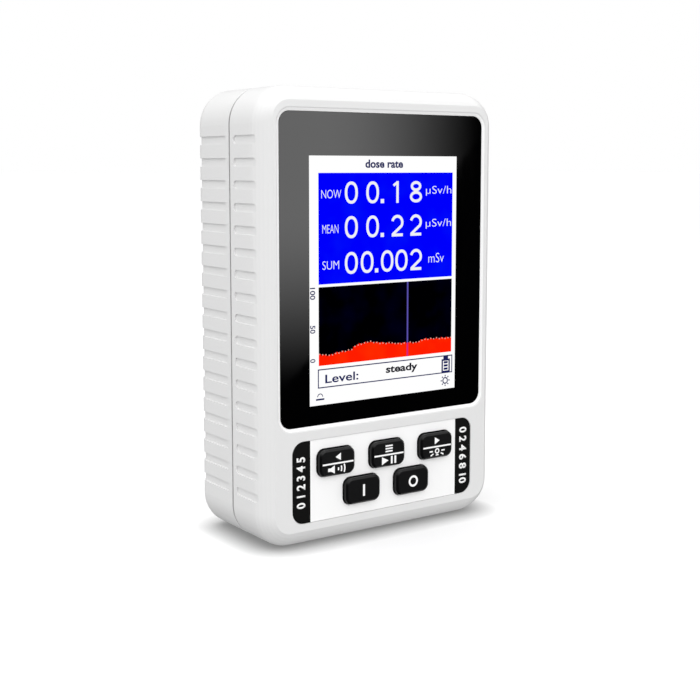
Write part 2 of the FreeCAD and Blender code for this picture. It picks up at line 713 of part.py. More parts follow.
def grille(body):
    """Rings of small holes over the buzzer: one in the middle, then six, then twelve."""
    middle = round_sketch(
        body, "grille_middle_outline", "XZ_Plane", "grille_hole", "0", "grille_middle",
        "-rear_depth",
    )
    pocket(body, "grille_middle_hole", middle, "rear_wall", backward=True)
    for ring, holes in ((1, 6), (2, 12)):
        # The pattern turns about the sketch's own normal, so the hole is drawn off its middle.
        sketch = new_sketch(body, f"grille_ring_{ring}_outline", "XZ_Plane", "0",
                            "grille_middle", "-rear_depth")
        circle = Part.Circle(FreeCAD.Vector(START_HALF, 0, 0), ALONG_NORMAL, START_BEND)
        sketch.addGeometry(circle, False)
        sketch.addConstraint(Sketcher.Constraint("PointOnObject", 0, 3, -1))
        constrain(sketch, "grille_hole", "across", "Diameter", 0)
        constrain(sketch, f"{ring} * grille_ring", "out", "DistanceX", -1, 1, 0, 3)
        first = pocket(body, f"grille_ring_{ring}_hole", sketch, "rear_wall", backward=True)
        document.recompute()
        pattern = body.newObject("PartDesign::PolarPattern", f"grille_ring_{ring}")
        pattern.Originals = [first]
        pattern.Axis = (sketch, ["N_Axis"])
        pattern.Angle = 360
        pattern.Occurrences = holes
        body.Tip = pattern


def rear_grooves(body):
    """Grip grooves along both sides of the rear shell that wrap round onto the back."""
    half = "case_width / 2"
    sketch = new_sketch(
        body, "rear_groove_outline", "XY_Plane", lift="groove_lowest - groove_height / 2"
    )
    edge = START_HALF
    bend = START_BEND
    bend_middle = FreeCAD.Vector(edge - bend, edge - bend, 0)
    side_start = FreeCAD.Vector(edge, OVERSHOOT, 0)
    side_end = FreeCAD.Vector(edge, edge - bend, 0)
    rest = [
        FreeCAD.Vector(edge - bend, edge, 0),
        FreeCAD.Vector(edge - 2 * bend, edge, 0),
        FreeCAD.Vector(edge - 2 * bend, edge + OVERSHOOT, 0),
        FreeCAD.Vector(edge + OVERSHOOT, edge + OVERSHOOT, 0),
        FreeCAD.Vector(edge + OVERSHOOT, OVERSHOOT, 0),
        side_start,
    ]
    sketch.addGeometry(Part.LineSegment(side_start, side_end), False)
    circle = Part.Circle(bend_middle, ALONG_NORMAL, bend)
    sketch.addGeometry(Part.ArcOfCircle(circle, 0, QUARTER_TURN), False)
    for start, end in zip(rest, rest[1:]):
        sketch.addGeometry(Part.LineSegment(start, end), False)
    # Lines 0 and 2 run into the arc 1, and lines 2 to 6 close the outline outside the case.
    sketch.addConstraint(Sketcher.Constraint("Tangent", 0, 2, 1, 1))
    sketch.addConstraint(Sketcher.Constraint("Tangent", 1, 2, 2, 1))
    for line in (2, 3, 4, 5, 6):
        sketch.addConstraint(Sketcher.Constraint("Coincident", line, 2, (line + 1) % 7, 1))
    for line in (0, 3, 5):
        sketch.addConstraint(Sketcher.Constraint("Vertical", line))
    for line in (2, 4, 6):
        sketch.addConstraint(Sketcher.Constraint("Horizontal", line))
    constrain(sketch, "rear_round - groove_depth", "bend", "Radius", 1)
    constrain(sketch, f"{half} - groove_depth", "inside", "DistanceX", -1, 1, 0, 1)
    constrain(sketch, "rear_groove_start", "start", "DistanceY", -1, 1, 0, 1)
    constrain(sketch, "rear_depth - groove_depth", "back", "DistanceY", -1, 1, 2, 2)
    constrain(sketch, f"{half} - rear_round - rear_groove_wrap", "wrap", "DistanceX", -1, 1, 2, 2)
    constrain(sketch, f"{half} + {OVERSHOOT}", "outside", "DistanceX", -1, 1, 5, 1)
    constrain(sketch, f"rear_depth + {OVERSHOOT}", "behind", "DistanceY", -1, 1, 4, 1)
    first = pocket(body, "rear_groove", sketch, "groove_height", backward=True)
    repeat_up_both_sides(body, "rear_groove_rows", first, "N_Axis")


def display():
    """Lens, gasket, glass panel, backlight tray, foam strips, flex and its connector."""
    lens_front = "-front_depth + lens_inset"
    gasket_front = f"{lens_front} + lens_thick"
    panel_front = "-front_depth + front_wall"
    tray_front = f"{panel_front} + panel_thick"
    tray_back = f"{tray_front} + tray_thick"
    keep(
        slab("display_lens", "lens_width", "lens_height", "lens_round", "lens_thick",
             y=lens_front, z="lens_middle"),
        "display_lens",
    )
    gasket = slab("lens_gasket", "lens_width", "lens_height", "lens_round", "gasket_thick",
                  y=gasket_front, z="lens_middle")
    opening = rounded_sketch(
        gasket, "gasket_opening_outline", "XZ_Plane", "lens_width - 2 * gasket_border",
        "lens_height - 2 * gasket_border", "lens_round",
    )
    pocket(gasket, "gasket_opening", opening, "gasket_thick")
    keep(gasket, "lens_gasket")
    keep(
        slab("display_panel", "panel_width", "panel_height", "panel_round", "panel_thick",
             y=panel_front, z="panel_middle"),
        "display_panel",
    )
    keep(
        slab("backlight_tray", "panel_width", "panel_height", "panel_round", "tray_thick",
             y=tray_front, z="panel_middle"),
        "backlight_tray",
    )
    strips = [
        slab(f"display_foam_{side}", "strip_width", "strip_height", "panel_round",
             f"-board_front - ({tray_back})", f"{sign}strip_across", tray_back, "strip_middle")
        for side, sign in (("left", "-"), ("right", ""))
    ]
    grouped("display_foam_strips", strips)
    keep(
        slab("display_connector", "connector_width", "connector_height", "panel_round",
             "connector_depth", y="-board_front - connector_depth",
             z="connector_foot + connector_height / 2"),
        "display_connector",
    )
    display_flex(f"{panel_front} + flex_inset", "-board_front - connector_depth / 2")


def display_flex(front, rear):
    """Flex ribbon: down from the panel at front, back under the tray, up to the connector."""
    body = new_body("display_flex")
    panel_foot = "panel_middle - panel_height / 2"
    low = f"{panel_foot} - flex_drop"
    outline = polygon_sketch(body, "display_flex_outline", "YZ_Plane", [
        (front, panel_foot),
        (front, low),
        (rear, low),
        (rear, "connector_foot"),
        (f"{rear} - flex_sheet", "connector_foot"),
        (f"{rear} - flex_sheet", f"{low} + flex_sheet"),
        (f"{front} + flex_sheet", f"{low} + flex_sheet"),
        (f"{front} + flex_sheet", panel_foot),
    ], lift="-flex_width / 2")
    pad(body, "display_flex_ribbon", outline, "flex_width")
    keep(body, "display_flex")


def keypad_overlay():
    """Printed plate round the keys."""
    front = "-front_depth + overlay_inset"
    overlay = slab("keypad_overlay", "overlay_width", "overlay_height", "overlay_round",
                   "overlay_thick", y=front, z="overlay_middle")
    key_holes(overlay, "overlay_key_hole", "0", "overlay_thick", shift="overlay_middle")
    keep(overlay, "keypad_overlay")


def key_cap(label, x, z):
    """A key with a bevelled top, side tabs that hold it in, and a stem that meets its switch."""
    body = new_body(label)
    tab_front = f"{FRONT_INSIDE} - tab_gap"
    tabs = rounded_sketch(
        body, f"{label}_tabs_outline", "XZ_Plane", "tab_width", "tab_height", "tab_round",
        lift=f"{tab_front} - tab_thick",
    )
    pad(body, f"{label}_tabs", tabs, "tab_thick")
    cap = rounded_sketch(
        body, f"{label}_cap_outline", "XZ_Plane", "key_width", "key_height", "key_round",
        lift=f"{tab_front} - tab_thick",
    )
    cap_pad = pad(body, f"{label}_cap", cap,
                  f"front_depth + key_proud - ({tab_front}) + tab_thick")
    top = -size("front_depth") - size("key_proud")
    soften(body, f"{label}_bevel", "Chamfer", cap_pad, top, "key_bevel")
    stem = round_sketch(
        body, f"{label}_stem_outline", "XZ_Plane", "stem_width", lift=f"-({PLUNGER_FRONT})"
    )
    pad(body, f"{label}_stem", stem, f"{tab_front} - tab_thick + {PLUNGER_FRONT}")
    place(body, x, "0", z)
    keep(body, label)


def keys_and_switches():
    """Five keys, each with the plunger that it presses, and the switches on the board."""
    housings = []
    for label, (x, z) in KEYS.items():
        key_cap(label, x, z)
        name = label.replace("_key", "")
        plunger = rod(f"{name}_plunger", "plunger_width", "plunger_length", x, PLUNGER_FRONT, z)
        keep(plunger, f"{name}_plunger")
        housing = slab(f"{name}_switch", "switch_width", "switch_width", "switch_round",
                       "switch_depth", x, SWITCH_FRONT, z)
        well = round_sketch(
            housing, f"{name}_switch_well_outline", "XZ_Plane", "plunger_width + 2 * plunger_gap"
        )
        pocket(housing, f"{name}_switch_well", well, "switch_depth - switch_floor")
        housings.append(housing)
    grouped("key_switches", housings)


def board():
    """Main circuit board with its screw holes."""
    body = slab("main_board", "board_width", "board_height", "board_round", "board_thick",
                y="-board_front", z="board_foot + board_height / 2")
    for index, (x, z) in enumerate(BOARD_POSTS):
        hole = round_sketch(
            body, f"board_hole_outline_{index}", "XZ_Plane",
            "board_screw_width + 2 * board_hole_gap", x,
            f"{z} - board_foot - board_height / 2",
        )
        pocket(body, f"board_hole_{index}", hole, "board_thick")
    keep(body, "main_board")


def screw(name, x, z, seat, thread, length, head, head_thick):
    """A pan-head screw driven forward: its head sits at seat, and its slot faces the back."""
    shank = rod(f"{name}_shank", thread, length, x, f"{seat} - ({length})", z)
    top = rod(f"{name}_head", head, head_thick, x, seat, z)
    slot_front = f"{seat} + ({head_thick}) / 2"
    slot_length = f"({head}) * slot_share"
    arms = [
        block(f"{name}_slot_wide", slot_length, head_thick, "slot_size", x, slot_front, z),
        block(f"{name}_slot_tall", "slot_size", head_thick, slot_length, x, slot_front, z),
    ]
    return cut(name, fused(f"{name}_blank", [shank, top]), fused(f"{name}_cross", arms))


def screws():
    """Case screws and board screws."""
    grouped("case_screws", [
        screw(f"case_screw_{index}", x, z, SCREW_SEAT, "case_screw_width",
              f"case_screw_reach + {SCREW_SEAT}", "case_head_width", "case_head_thick")
        for index, (x, z) in enumerate(BOSSES)
    ])
    grouped("board_screws", [
        screw(f"board_screw_{index}", x, z, BOARD_BACK, "board_screw_width",
              "board_screw_length", "board_head_width", "board_head_thick")
        for index, (x, z) in enumerate(BOARD_POSTS)
    ])


def charge_port():
    """Charging port at the bottom edge of the board: a sheet-metal shell and its tongue."""
    shell = new_body("charge_port")
    outline = rounded_sketch(
        shell, "charge_port_outline", "XY_Plane", "port_width", "port_thick",
        "(port_thick - port_flat) / 2", y=PORT_BEHIND, lift="port_foot",
    )
    pad(shell, "charge_port_body", outline, "port_length")
    bore = rounded_sketch(
        shell, "charge_port_bore_outline", "XY_Plane", "port_width - 2 * port_sheet",
        "port_thick - 2 * port_sheet", "(port_thick - port_flat) / 2 - port_sheet",
        y=PORT_BEHIND, lift="port_foot",
    )
    pocket(shell, "charge_port_bore", bore, "port_length - port_back", backward=True)
    keep(shell, "charge_port")
    tongue = new_body("charge_port_tongue")
    blade = rounded_sketch(
        tongue, "charge_port_tongue_outline", "XY_Plane", "port_tongue_width",
        "port_tongue_thick", "port_tongue_round", y=PORT_BEHIND,
        lift="port_foot + port_length - port_back - port_tongue_length",
    )
    pad(tongue, "charge_port_tongue_blade", blade, "port_tongue_length")
    keep(tongue, "charge_port_tongue")


def detector_tube():
    """Glass detector tube with its cathode, anode wire, end caps and board clips."""
    inside = "tube_width - 2 * tube_wall"
    head = "tube_foot + tube_length"
    where = {"x": TUBE_X, "y": "tube_behind", "upright": True}
    glass = cut(
        "detector_tube_glass",
        rod("glass_outside", "tube_width", "tube_length", z="tube_foot", **where),
        rod("glass_inside", inside, "tube_length", z="tube_foot", **where),
    )
    keep(glass, "detector_tube_glass")
    sleeve_foot = "tube_foot + cathode_inset"
    sleeve_length = "tube_length - 2 * cathode_inset"
    sleeve = cut(
        "tube_cathode",
        rod("cathode_outside", inside, sleeve_length, z=sleeve_foot, **where),
        rod("cathode_inside", f"{inside} - 2 * cathode_wall", sleeve_length, z=sleeve_foot,
            **where),
    )
    keep(sleeve, "tube_cathode")
    wire = rod("tube_anode_wire", "anode_width", "tube_length", z="tube_foot", **where)
    keep(wire, "tube_anode_wire")
    caps = []
    for end, cap_foot, rim_foot in (
        ("lower", "tube_foot - cap_length", "tube_foot - cap_rim"),
        ("upper", head, head),
    ):
        barrel = rod(f"{end}_cap_barrel", "cap_width", "cap_length", z=cap_foot, **where)
        rim = rod(f"{end}_cap_rim", "tube_width", "cap_rim", z=rim_foot, **where)
        caps.append(fused(f"{end}_cap", [barrel, rim]))
    grouped("tube_end_caps", caps)
    reach = f"tube_behind - ({BOARD_BACK})"
    clips = []
    for end, middle in (("lower", "tube_foot - (cap_length + cap_rim) / 2"),
                        ("upper", f"{head} + (cap_length + cap_rim) / 2")):
        saddle = block(
            f"{end}_clip_saddle", "cap_width + 2 * clip_sheet", f"{reach} + clip_grip",
            "clip_height", TUBE_X, BOARD_BACK, middle,
        )
        hollow = block(
            f"{end}_clip_hollow", "cap_width - 2 * clip_sheet", f"{reach} + clip_grip",
            "clip_height", TUBE_X, f"{BOARD_BACK} + clip_sheet", middle,
        )
        grip = rod(f"{end}_clip_grip", "cap_width", "clip_height", TUBE_X, "tube_behind",
                   f"{middle} - clip_height / 2", upright=True)
        clips.append(cut(f"{end}_clip", saddle, fused(f"{end}_clip_room", [hollow, grip])))
    grouped("tube_clips", clips)


def high_voltage_supply():
    """Drum-core transformer with its winding, film capacitor and rectifier diodes."""
    x, z = "core_across", "core_middle"
    winding_front = f"{BOARD_BACK} + core_flange"
    drum = fused("transformer_core", [
        rod("core_front_flange", "core_width", "core_flange", x, BOARD_BACK, z),
        rod("core_post", "core_post", "2 * core_flange + winding_length", x, BOARD_BACK, z),
        rod("core_rear_flange", "core_width", "core_flange", x,
            f"{winding_front} + winding_length", z),
    ])
    keep(drum, "transformer_core")
    winding = cut(
        "transformer_winding",
        rod("winding_outside", "winding_width", "winding_length", x, winding_front, z),
        rod("winding_inside", "core_post", "winding_length", x, winding_front, z),
    )
    keep(winding, "transformer_winding")
    keep(
        slab("high_voltage_capacitor", "film_width", "film_height", "film_round", "film_depth",
             "film_across", BOARD_BACK, "film_middle"),
        "high_voltage_capacitor",
    )
    diodes = [
        rod(f"diode_{index}", "diode_width", "diode_length",
            f"diode_first + {index} * diode_spacing", f"{BOARD_BACK} + diode_width / 2",
            "diode_foot", upright=True)
        for index in range(int(size("diode_count")))
    ]
    grouped("rectifier_diodes", diodes)


def logic():
    """Processor with its crystal, and the buzzer."""
    keep(
        slab("microcontroller", "chip_width", "chip_width", "chip_round", "chip_thick",
             "chip_across", BOARD_BACK, "chip_middle"),
        "microcontroller",
    )
    keep(
        slab("clock_crystal", "crystal_width", "crystal_height", "crystal_round",
             "crystal_depth", "chip_across", BOARD_BACK, "crystal_middle"),
        "clock_crystal",
    )
    buzzer = cut(
        "buzzer",
        rod("buzzer_can", "buzzer_width", "buzzer_depth", "0", BOARD_BACK, "grille_middle"),
        rod("buzzer_mouth", "buzzer_hole", "buzzer_hole_depth", "0",
            f"{BOARD_BACK} + buzzer_depth - buzzer_hole_depth", "grille_middle"),
    )
    keep(buzzer, "buzzer")


def power():
    """Battery on its foam, with its leads, plug and socket."""
    back = REAR_INSIDE
    battery_front = f"{back} - pad_thick - battery_thick"
    keep(
        slab("battery", "battery_width", "battery_height", "battery_round", "battery_thick",
             "battery_across", battery_front, "battery_middle"),
        "battery",
    )
    keep(
        slab("battery_foam", "battery_width - 2 * pad_inset", "battery_height - 2 * pad_inset",
             "battery_round", "pad_thick", "battery_across", f"{back} - pad_thick",
             "battery_middle"),
        "battery_foam",
    )
    room_width = "socket_width - 2 * socket_wall"
    room_height = "socket_height - 2 * socket_wall"
    socket = slab("battery_socket", "socket_width", "socket_height", "socket_round",
                  "socket_depth", "socket_across", BOARD_BACK, "socket_middle")
    room = rounded_sketch(
        socket, "battery_socket_room_outline", "XZ_Plane", room_width, room_height,
        "plug_round", lift="-socket_depth",
    )
    pocket(socket, "battery_socket_room", room, "socket_depth - socket_floor", backward=True)
    keep(socket, "battery_socket")
    keep(
        slab("battery_plug", f"{room_width} - 2 * plug_gap", f"{room_height} - 2 * plug_gap",
             "plug_round", "plug_depth", "socket_across", f"{BOARD_BACK} + socket_floor",
             "socket_middle"),
        "battery_plug",
    )
    for colour, sign in (("red", "-"), ("black", "+")):
        lead = document.addObject("Part::Feature", f"battery_lead_{colour}")
        lead.Shape = bent_lead()
        place(lead, f"socket_across {sign} lead_spacing / 2", "0", "0")
        keep(lead, f"battery_lead_{colour}")


def bent_lead():
    """A round lead from the plug straight back, round one bend and up to the battery."""
    plug_front = size("board_thick") - size("board_front") + size("socket_floor")
    plug_back = plug_front + size("plug_depth")
    low = size("socket_middle")
    high = size("battery_middle") - size("battery_height") / 2
    back = size("rear_depth") - size("rear_wall") - size("pad_thick") - size("battery_thick") / 2
    bend = size("lead_bend")
    across_bend = bend * math.sqrt(0.5)
    start = FreeCAD.Vector(0, plug_back, low)
    bend_start = FreeCAD.Vector(0, back - bend, low)
    bend_middle = FreeCAD.Vector(0, back - bend + across_bend, low + bend - across_bend)
    bend_end = FreeCAD.Vector(0, back, low + bend)
    end = FreeCAD.Vector(0, back, high)
    path = Part.Wire([
        Part.LineSegment(start, bend_start).toShape(),
        Part.Arc(bend_start, bend_middle, bend_end).toShape(),
        Part.LineSegment(bend_end, end).toShape(),
    ])
    circle = Part.Circle(start, FreeCAD.Vector(0, 1, 0), size("lead_width") / 2)
    section = Part.Wire([circle.toShape()])
    return path.makePipeShell([section], True, False)


def check_cuts():
    """Stop if a pocket has taken nothing away."""
    for thing in document.Objects:
        if thing.TypeId == "PartDesign::Pocket":
            before = thing.BaseFeature.Shape.Volume
            if thing.Shape.Volume > before - SMALL:
                raise RuntimeError(f"{thing.Label} cuts nothing")


def check_objects():
    """Stop if an object failed or a sub-part's shape is not sound."""
    for thing in document.Objects:
        if "Invalid" in thing.State or "Error" in thing.State:
            raise RuntimeError(f"{thing.Label} failed: {thing.State}")
    for part in subparts:
        if part.Shape.isNull() or not part.Shape.isValid() or not part.Shape.Solids:
            raise RuntimeError(f"{part.Label} has no sound shape")


def write_parts():
    """Write each sub-part to parts/LABEL.step."""
    os.makedirs("parts", exist_ok=True)
    for part in subparts:
        part.Shape.exportStep(f"parts/{part.Label}.step")


fill_sheet()
front_shell()
rear_shell()
display()
keypad_overlay()
keys_and_switches()
board()
screws()
charge_port()
detector_tube()
high_voltage_supply()
logic()
power()
document.recompute()
check_objects()
check_cuts()
write_parts()
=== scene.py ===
import json
import math

import bmesh
import bpy
from mathutils import Matrix, Vector


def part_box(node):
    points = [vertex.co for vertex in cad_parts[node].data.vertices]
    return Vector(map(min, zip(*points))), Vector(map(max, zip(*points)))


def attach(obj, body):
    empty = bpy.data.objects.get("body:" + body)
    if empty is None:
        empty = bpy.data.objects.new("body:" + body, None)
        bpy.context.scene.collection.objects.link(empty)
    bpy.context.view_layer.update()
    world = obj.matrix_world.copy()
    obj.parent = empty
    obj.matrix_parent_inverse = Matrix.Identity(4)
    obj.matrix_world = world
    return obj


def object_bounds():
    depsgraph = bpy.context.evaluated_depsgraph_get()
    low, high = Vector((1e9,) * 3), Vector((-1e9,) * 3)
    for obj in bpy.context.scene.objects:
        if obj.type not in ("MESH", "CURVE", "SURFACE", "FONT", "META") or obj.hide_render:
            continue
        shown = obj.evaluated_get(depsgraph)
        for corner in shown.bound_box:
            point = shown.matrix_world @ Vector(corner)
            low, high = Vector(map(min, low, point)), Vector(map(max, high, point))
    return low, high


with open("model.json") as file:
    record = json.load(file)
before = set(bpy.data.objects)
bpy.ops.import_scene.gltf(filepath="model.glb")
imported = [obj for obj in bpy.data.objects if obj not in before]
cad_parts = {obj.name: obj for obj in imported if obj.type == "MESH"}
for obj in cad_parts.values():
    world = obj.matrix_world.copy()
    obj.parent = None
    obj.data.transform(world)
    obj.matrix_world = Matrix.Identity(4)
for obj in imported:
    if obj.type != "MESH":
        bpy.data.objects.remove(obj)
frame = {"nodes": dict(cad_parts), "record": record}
cad_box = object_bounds()

MM = 0.001

# ---------------------------------------------------------------------------------------------
# Sizes, in millimetres, from the frame's nodes and from the printed layout
# ---------------------------------------------------------------------------------------------

KEYS = ("sound", "play", "light", "on", "off")


def box_mm(node):
    """A node's lowest and highest corners in millimetres."""
    low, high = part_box(node)
    return Vector(low) / MM, Vector(high) / MM


LENS_LOW, LENS_HIGH = box_mm("display_lens")
PANEL_LOW, PANEL_HIGH = box_mm("display_panel")
OVERLAY_LOW, OVERLAY_HIGH = box_mm("keypad_overlay")
CASE_LOW, CASE_HIGH = box_mm("front_shell")
LENS_MIDDLE = (LENS_LOW + LENS_HIGH) / 2
PANEL_MIDDLE = (PANEL_LOW + PANEL_HIGH) / 2

SCREEN_WIDTH = 48.6
SCREEN_HEIGHT = 64.8
SCREEN_RISE = 3.25  # the picture's middle above the panel's middle
SCREEN_LEFT = PANEL_MIDDLE.x - SCREEN_WIDTH / 2
SCREEN_FOOT = PANEL_MIDDLE.z + SCREEN_RISE - SCREEN_HEIGHT / 2
DOT_PITCH = SCREEN_WIDTH / 240

FILM = 0.012  # thickness of a printed or lit film
LAYER = 0.016  # distance between films that lie on each other
RING_STEPS, ARC_STEPS = 40, 14  # straight pieces in a ring and in an arc
HEAVY, BOLD, THIN = 0.03, 0.015, -0.012  # how much lettering's outlines grow or shrink

# ---------------------------------------------------------------------------------------------
# Material nodes
# ---------------------------------------------------------------------------------------------


class Nodes:
    """Short calls that add nodes to a tree."""

    def __init__(self, tree):
        self.tree = tree
        self.tree.nodes.clear()

    def join(self, source, target):
        self.tree.links.new(source, target)

    def add(self, kind, **settings):
        """Add a node: settings that name a socket are values or links, and others are properties."""
        node = self.tree.nodes.new(kind)
        for name, value in settings.items():
            socket = node.inputs.get(name.replace("_", " "))
            if socket is None:
                setattr(node, name, value)
            elif isinstance(value, bpy.types.NodeSocket):
                self.join(value, socket)
            else:
                socket.default_value = value
        return node

    def math(self, operation, *values):
        """A math node on numbers or sockets."""
        node = self.tree.nodes.new("ShaderNodeMath")
        node.operation = operation
        for socket, value in zip(node.inputs, values):
            if isinstance(value, bpy.types.NodeSocket):
                self.join(value, socket)
            else:
                socket.default_value = value
        return node.outputs[0]

    def place(self):
        """Position in the piece's own coordinates, in millimetres."""
        coordinates = self.add("ShaderNodeTexCoord").outputs["Object"]
        scaled = self.add("ShaderNodeVectorMath", operation="SCALE")
        self.join(coordinates, scaled.inputs[0])
        scaled.inputs["Scale"].default_value = 1 / MM
        return scaled.outputs[0]

    def stretched(self, vector, scale):
        """A position scaled differently along each axis."""
        node = self.add("ShaderNodeVectorMath", operation="MULTIPLY")
        self.join(vector, node.inputs[0])
        node.inputs[1].default_value = scale
        return node.outputs[0]

    def noise(self, vector, scale, detail=2.0, roughness=0.5):
        node = self.add("ShaderNodeTexNoise", Scale=scale, Detail=detail, Roughness=roughness)
        self.join(vector, node.inputs["Vector"])
        return node.outputs["Fac"]

    def remap(self, value, low, high, start=0.0, end=1.0):
        """Map a value from start..end to low..high."""
        node = self.add("ShaderNodeMapRange")
        self.join(value, node.inputs["Value"])
        node.inputs["From Min"].default_value = start
        node.inputs["From Max"].default_value = end
        node.inputs["To Min"].default_value = low
        node.inputs["To Max"].default_value = high
        return node.outputs["Result"]

    def soft_step(self, value, start, end):
        """Rise smoothly from 0 to 1 between two values, which may be in falling order."""
        node = self.add("ShaderNodeMapRange", interpolation_type="SMOOTHSTEP")
        self.join(value, node.inputs["Value"])
        flipped = start > end
        node.inputs["From Min"].default_value = min(start, end)
        node.inputs["From Max"].default_value = max(start, end)
        node.inputs["To Min"].default_value = 1.0 if flipped else 0.0
        node.inputs["To Max"].default_value = 0.0 if flipped else 1.0
        return node.outputs["Result"]

    def choose(self, share, first, second):
        """A number between two numbers."""
        node = self.add("ShaderNodeMix", data_type="FLOAT")
        for value, socket in ((share, node.inputs[0]), (first, node.inputs[2]), (second, node.inputs[3])):
            if isinstance(value, bpy.types.NodeSocket):
                self.join(value, socket)
            else:
                socket.default_value = value
        return node.outputs[0]

    def blend(self, share, first, second):
        """A colour between two colours."""
        node = self.add("ShaderNodeMix", data_type="RGBA")
        for value, socket in ((share, node.inputs[0]), (first, node.inputs[6]), (second, node.inputs[7])):
            if isinstance(value, bpy.types.NodeSocket):
                self.join(value, socket)
            else:
                socket.default_value = (*value, 1.0)
        return node.outputs[2]

    def split(self, vector):
        """The X, Y and Z of a position."""
        node = self.add("ShaderNodeSeparateXYZ")
        self.join(vector, node.inputs[0])
        return node.outputs[0], node.outputs[1], node.outputs[2]


class Coat(Nodes):
    """A new material with a Principled shader."""

    def __init__(self, name):
        self.material = bpy.data.materials.new(name)
        self.material.use_nodes = True
        super().__init__(self.material.node_tree)
        output = self.add("ShaderNodeOutputMaterial")
        self.shader = self.add("ShaderNodeBsdfPrincipled")
        self.join(self.shader.outputs["BSDF"], output.inputs["Surface"])

    def bump(self, height, distance):
        """Bump the surface by a pattern, as deep as a distance in millimetres."""
        node = self.add("ShaderNodeBump", Strength=1.0, Distance=distance * MM)
        self.join(height, node.inputs["Height"])
        self.join(node.outputs["Normal"], self.shader.inputs["Normal"])

    def set(self, **values):
        """Set shader sockets to plain values, or link them."""
        for name, value in values.items():
            socket = self.shader.inputs[name.replace("_", " ")]
            if isinstance(value, bpy.types.NodeSocket):
                self.join(value, socket)
            elif isinstance(value, tuple) and len(value) == 3 and len(socket.default_value) == 4:
                socket.default_value = (*value, 1.0)
            else:
                socket.default_value = value


def shade(colour, factor):
    return tuple(channel * factor for channel in colour)


def moulded(name, colour, roughness, grain=0.35, height=0.012, vary=0.03):
    """Moulded plastic: a fine spark-eroded grain, and slow changes of tone and polish."""
    nodes = Coat(name)
    place = nodes.place()
    slow = nodes.noise(place, 0.045, detail=3.0)
    cloud = nodes.noise(place, 0.5, detail=2.0)
    fine = nodes.noise(place, 1 / grain, detail=3.0, roughness=0.6)
    tone = nodes.blend(slow, shade(colour, 1 - vary), shade(colour, 1 + vary / 2))
    tone = nodes.blend(nodes.remap(cloud, 0.0, 0.25), tone, shade(colour, 1 - vary))
    polish = nodes.math("ADD", nodes.remap(slow, -0.04, 0.04), nodes.remap(fine, -0.05, 0.05))
    nodes.set(
        Base_Color=tone,
        Roughness=nodes.math("ADD", polish, roughness),
        IOR=1.5,
    )
    nodes.bump(fine, height)
    return nodes


def glossy(name, colour, roughness=0.05, vary=0.05):
    """Polished plastic: faint wiping marks in the polish and a very slow waviness."""
    nodes = Coat(name)
    place = nodes.place()
    smear = nodes.noise(nodes.stretched(place, (0.35, 0.35, 0.06)), 1.0, detail=4.0)
    wave = nodes.noise(place, 0.08)
    tone = nodes.blend(smear, shade(colour, 1 - vary), shade(colour, 1 + vary))
    nodes.set(
        Base_Color=tone,
        Roughness=nodes.remap(smear, roughness * 0.7, roughness * 1.6, 0.3, 0.7),
        IOR=1.49,
    )
    nodes.bump(wave, 0.004)
    return nodes


def metal(name, colour, roughness, stretch=(1.0, 1.0, 1.0), grain=0.25, height=0.006):
    """Metal with a drawn or stamped grain along one direction."""
    nodes = Coat(name)
    place = nodes.stretched(nodes.place(), stretch)
    fine = nodes.noise(place, 1 / grain, detail=4.0, roughness=0.65)
    slow = nodes.noise(nodes.place(), 0.4, detail=2.0)
    tone = nodes.blend(slow, shade(colour, 0.86), shade(colour, 1.05))
    nodes.set(
        Base_Color=tone,
        Metallic=1.0,
        Roughness=nodes.remap(fine, roughness * 0.75, roughness * 1.35, 0.25, 0.75),
    )
    nodes.bump(fine, height)
    return nodes


def foam(name, colour):
    """Closed-cell foam."""
    nodes = Coat(name)
    place = nodes.place()
    cells = nodes.add("ShaderNodeTexVoronoi", Scale=3.2)
    nodes.join(place, cells.inputs["Vector"])
    tone = nodes.blend(cells.outputs["Distance"], shade(colour, 0.6), shade(colour, 1.25))
    nodes.set(Base_Color=tone, Roughness=0.92)
    nodes.bump(cells.outputs["Distance"], 0.08)
    return nodes


def clear_glass(name, colour):
    """Glass with faint drawing lines."""
    nodes = Coat(name)
    lines = nodes.noise(nodes.stretched(nodes.place(), (1.5, 1.5, 0.03)), 1.0, detail=3.0)
    nodes.set(
        Base_Color=nodes.blend(lines, shade(colour, 0.97), colour),
        Roughness=nodes.remap(lines, 0.02, 0.04),
        IOR=1.5,
        Transmission_Weight=1.0,
    )
    nodes.bump(lines, 0.004)
    return nodes


def circuit_board(name):
    """Green solder mask over etched tracks, with bare pads."""
    nodes = Coat(name)
    place = nodes.place()
    tracks = nodes.add("ShaderNodeTexBrick", Scale=0.22, Mortar_Size=0.035, Bias=0.0)
    across, _, up = nodes.split(place)
    flat = nodes.add("ShaderNodeCombineXYZ", X=across, Y=up)
    nodes.join(flat.outputs[0], tracks.inputs["Vector"])
    pads = nodes.add("ShaderNodeTexVoronoi", Scale=0.35)
    nodes.join(flat.outputs[0], pads.inputs["Vector"])
    is_pad = nodes.math("LESS_THAN", pads.outputs["Distance"], 0.16)
    mask = nodes.blend(tracks.outputs["Fac"], (0.012, 0.12, 0.045), (0.03, 0.24, 0.09))
    nodes.set(
        Base_Color=nodes.blend(is_pad, mask, (0.75, 0.6, 0.32)),
        Metallic=nodes.math("MULTIPLY", is_pad, 0.9),
        Roughness=nodes.remap(is_pad, 0.32, 0.25),
        IOR=1.5,
    )
    nodes.bump(tracks.outputs["Fac"], 0.03)
    return nodes


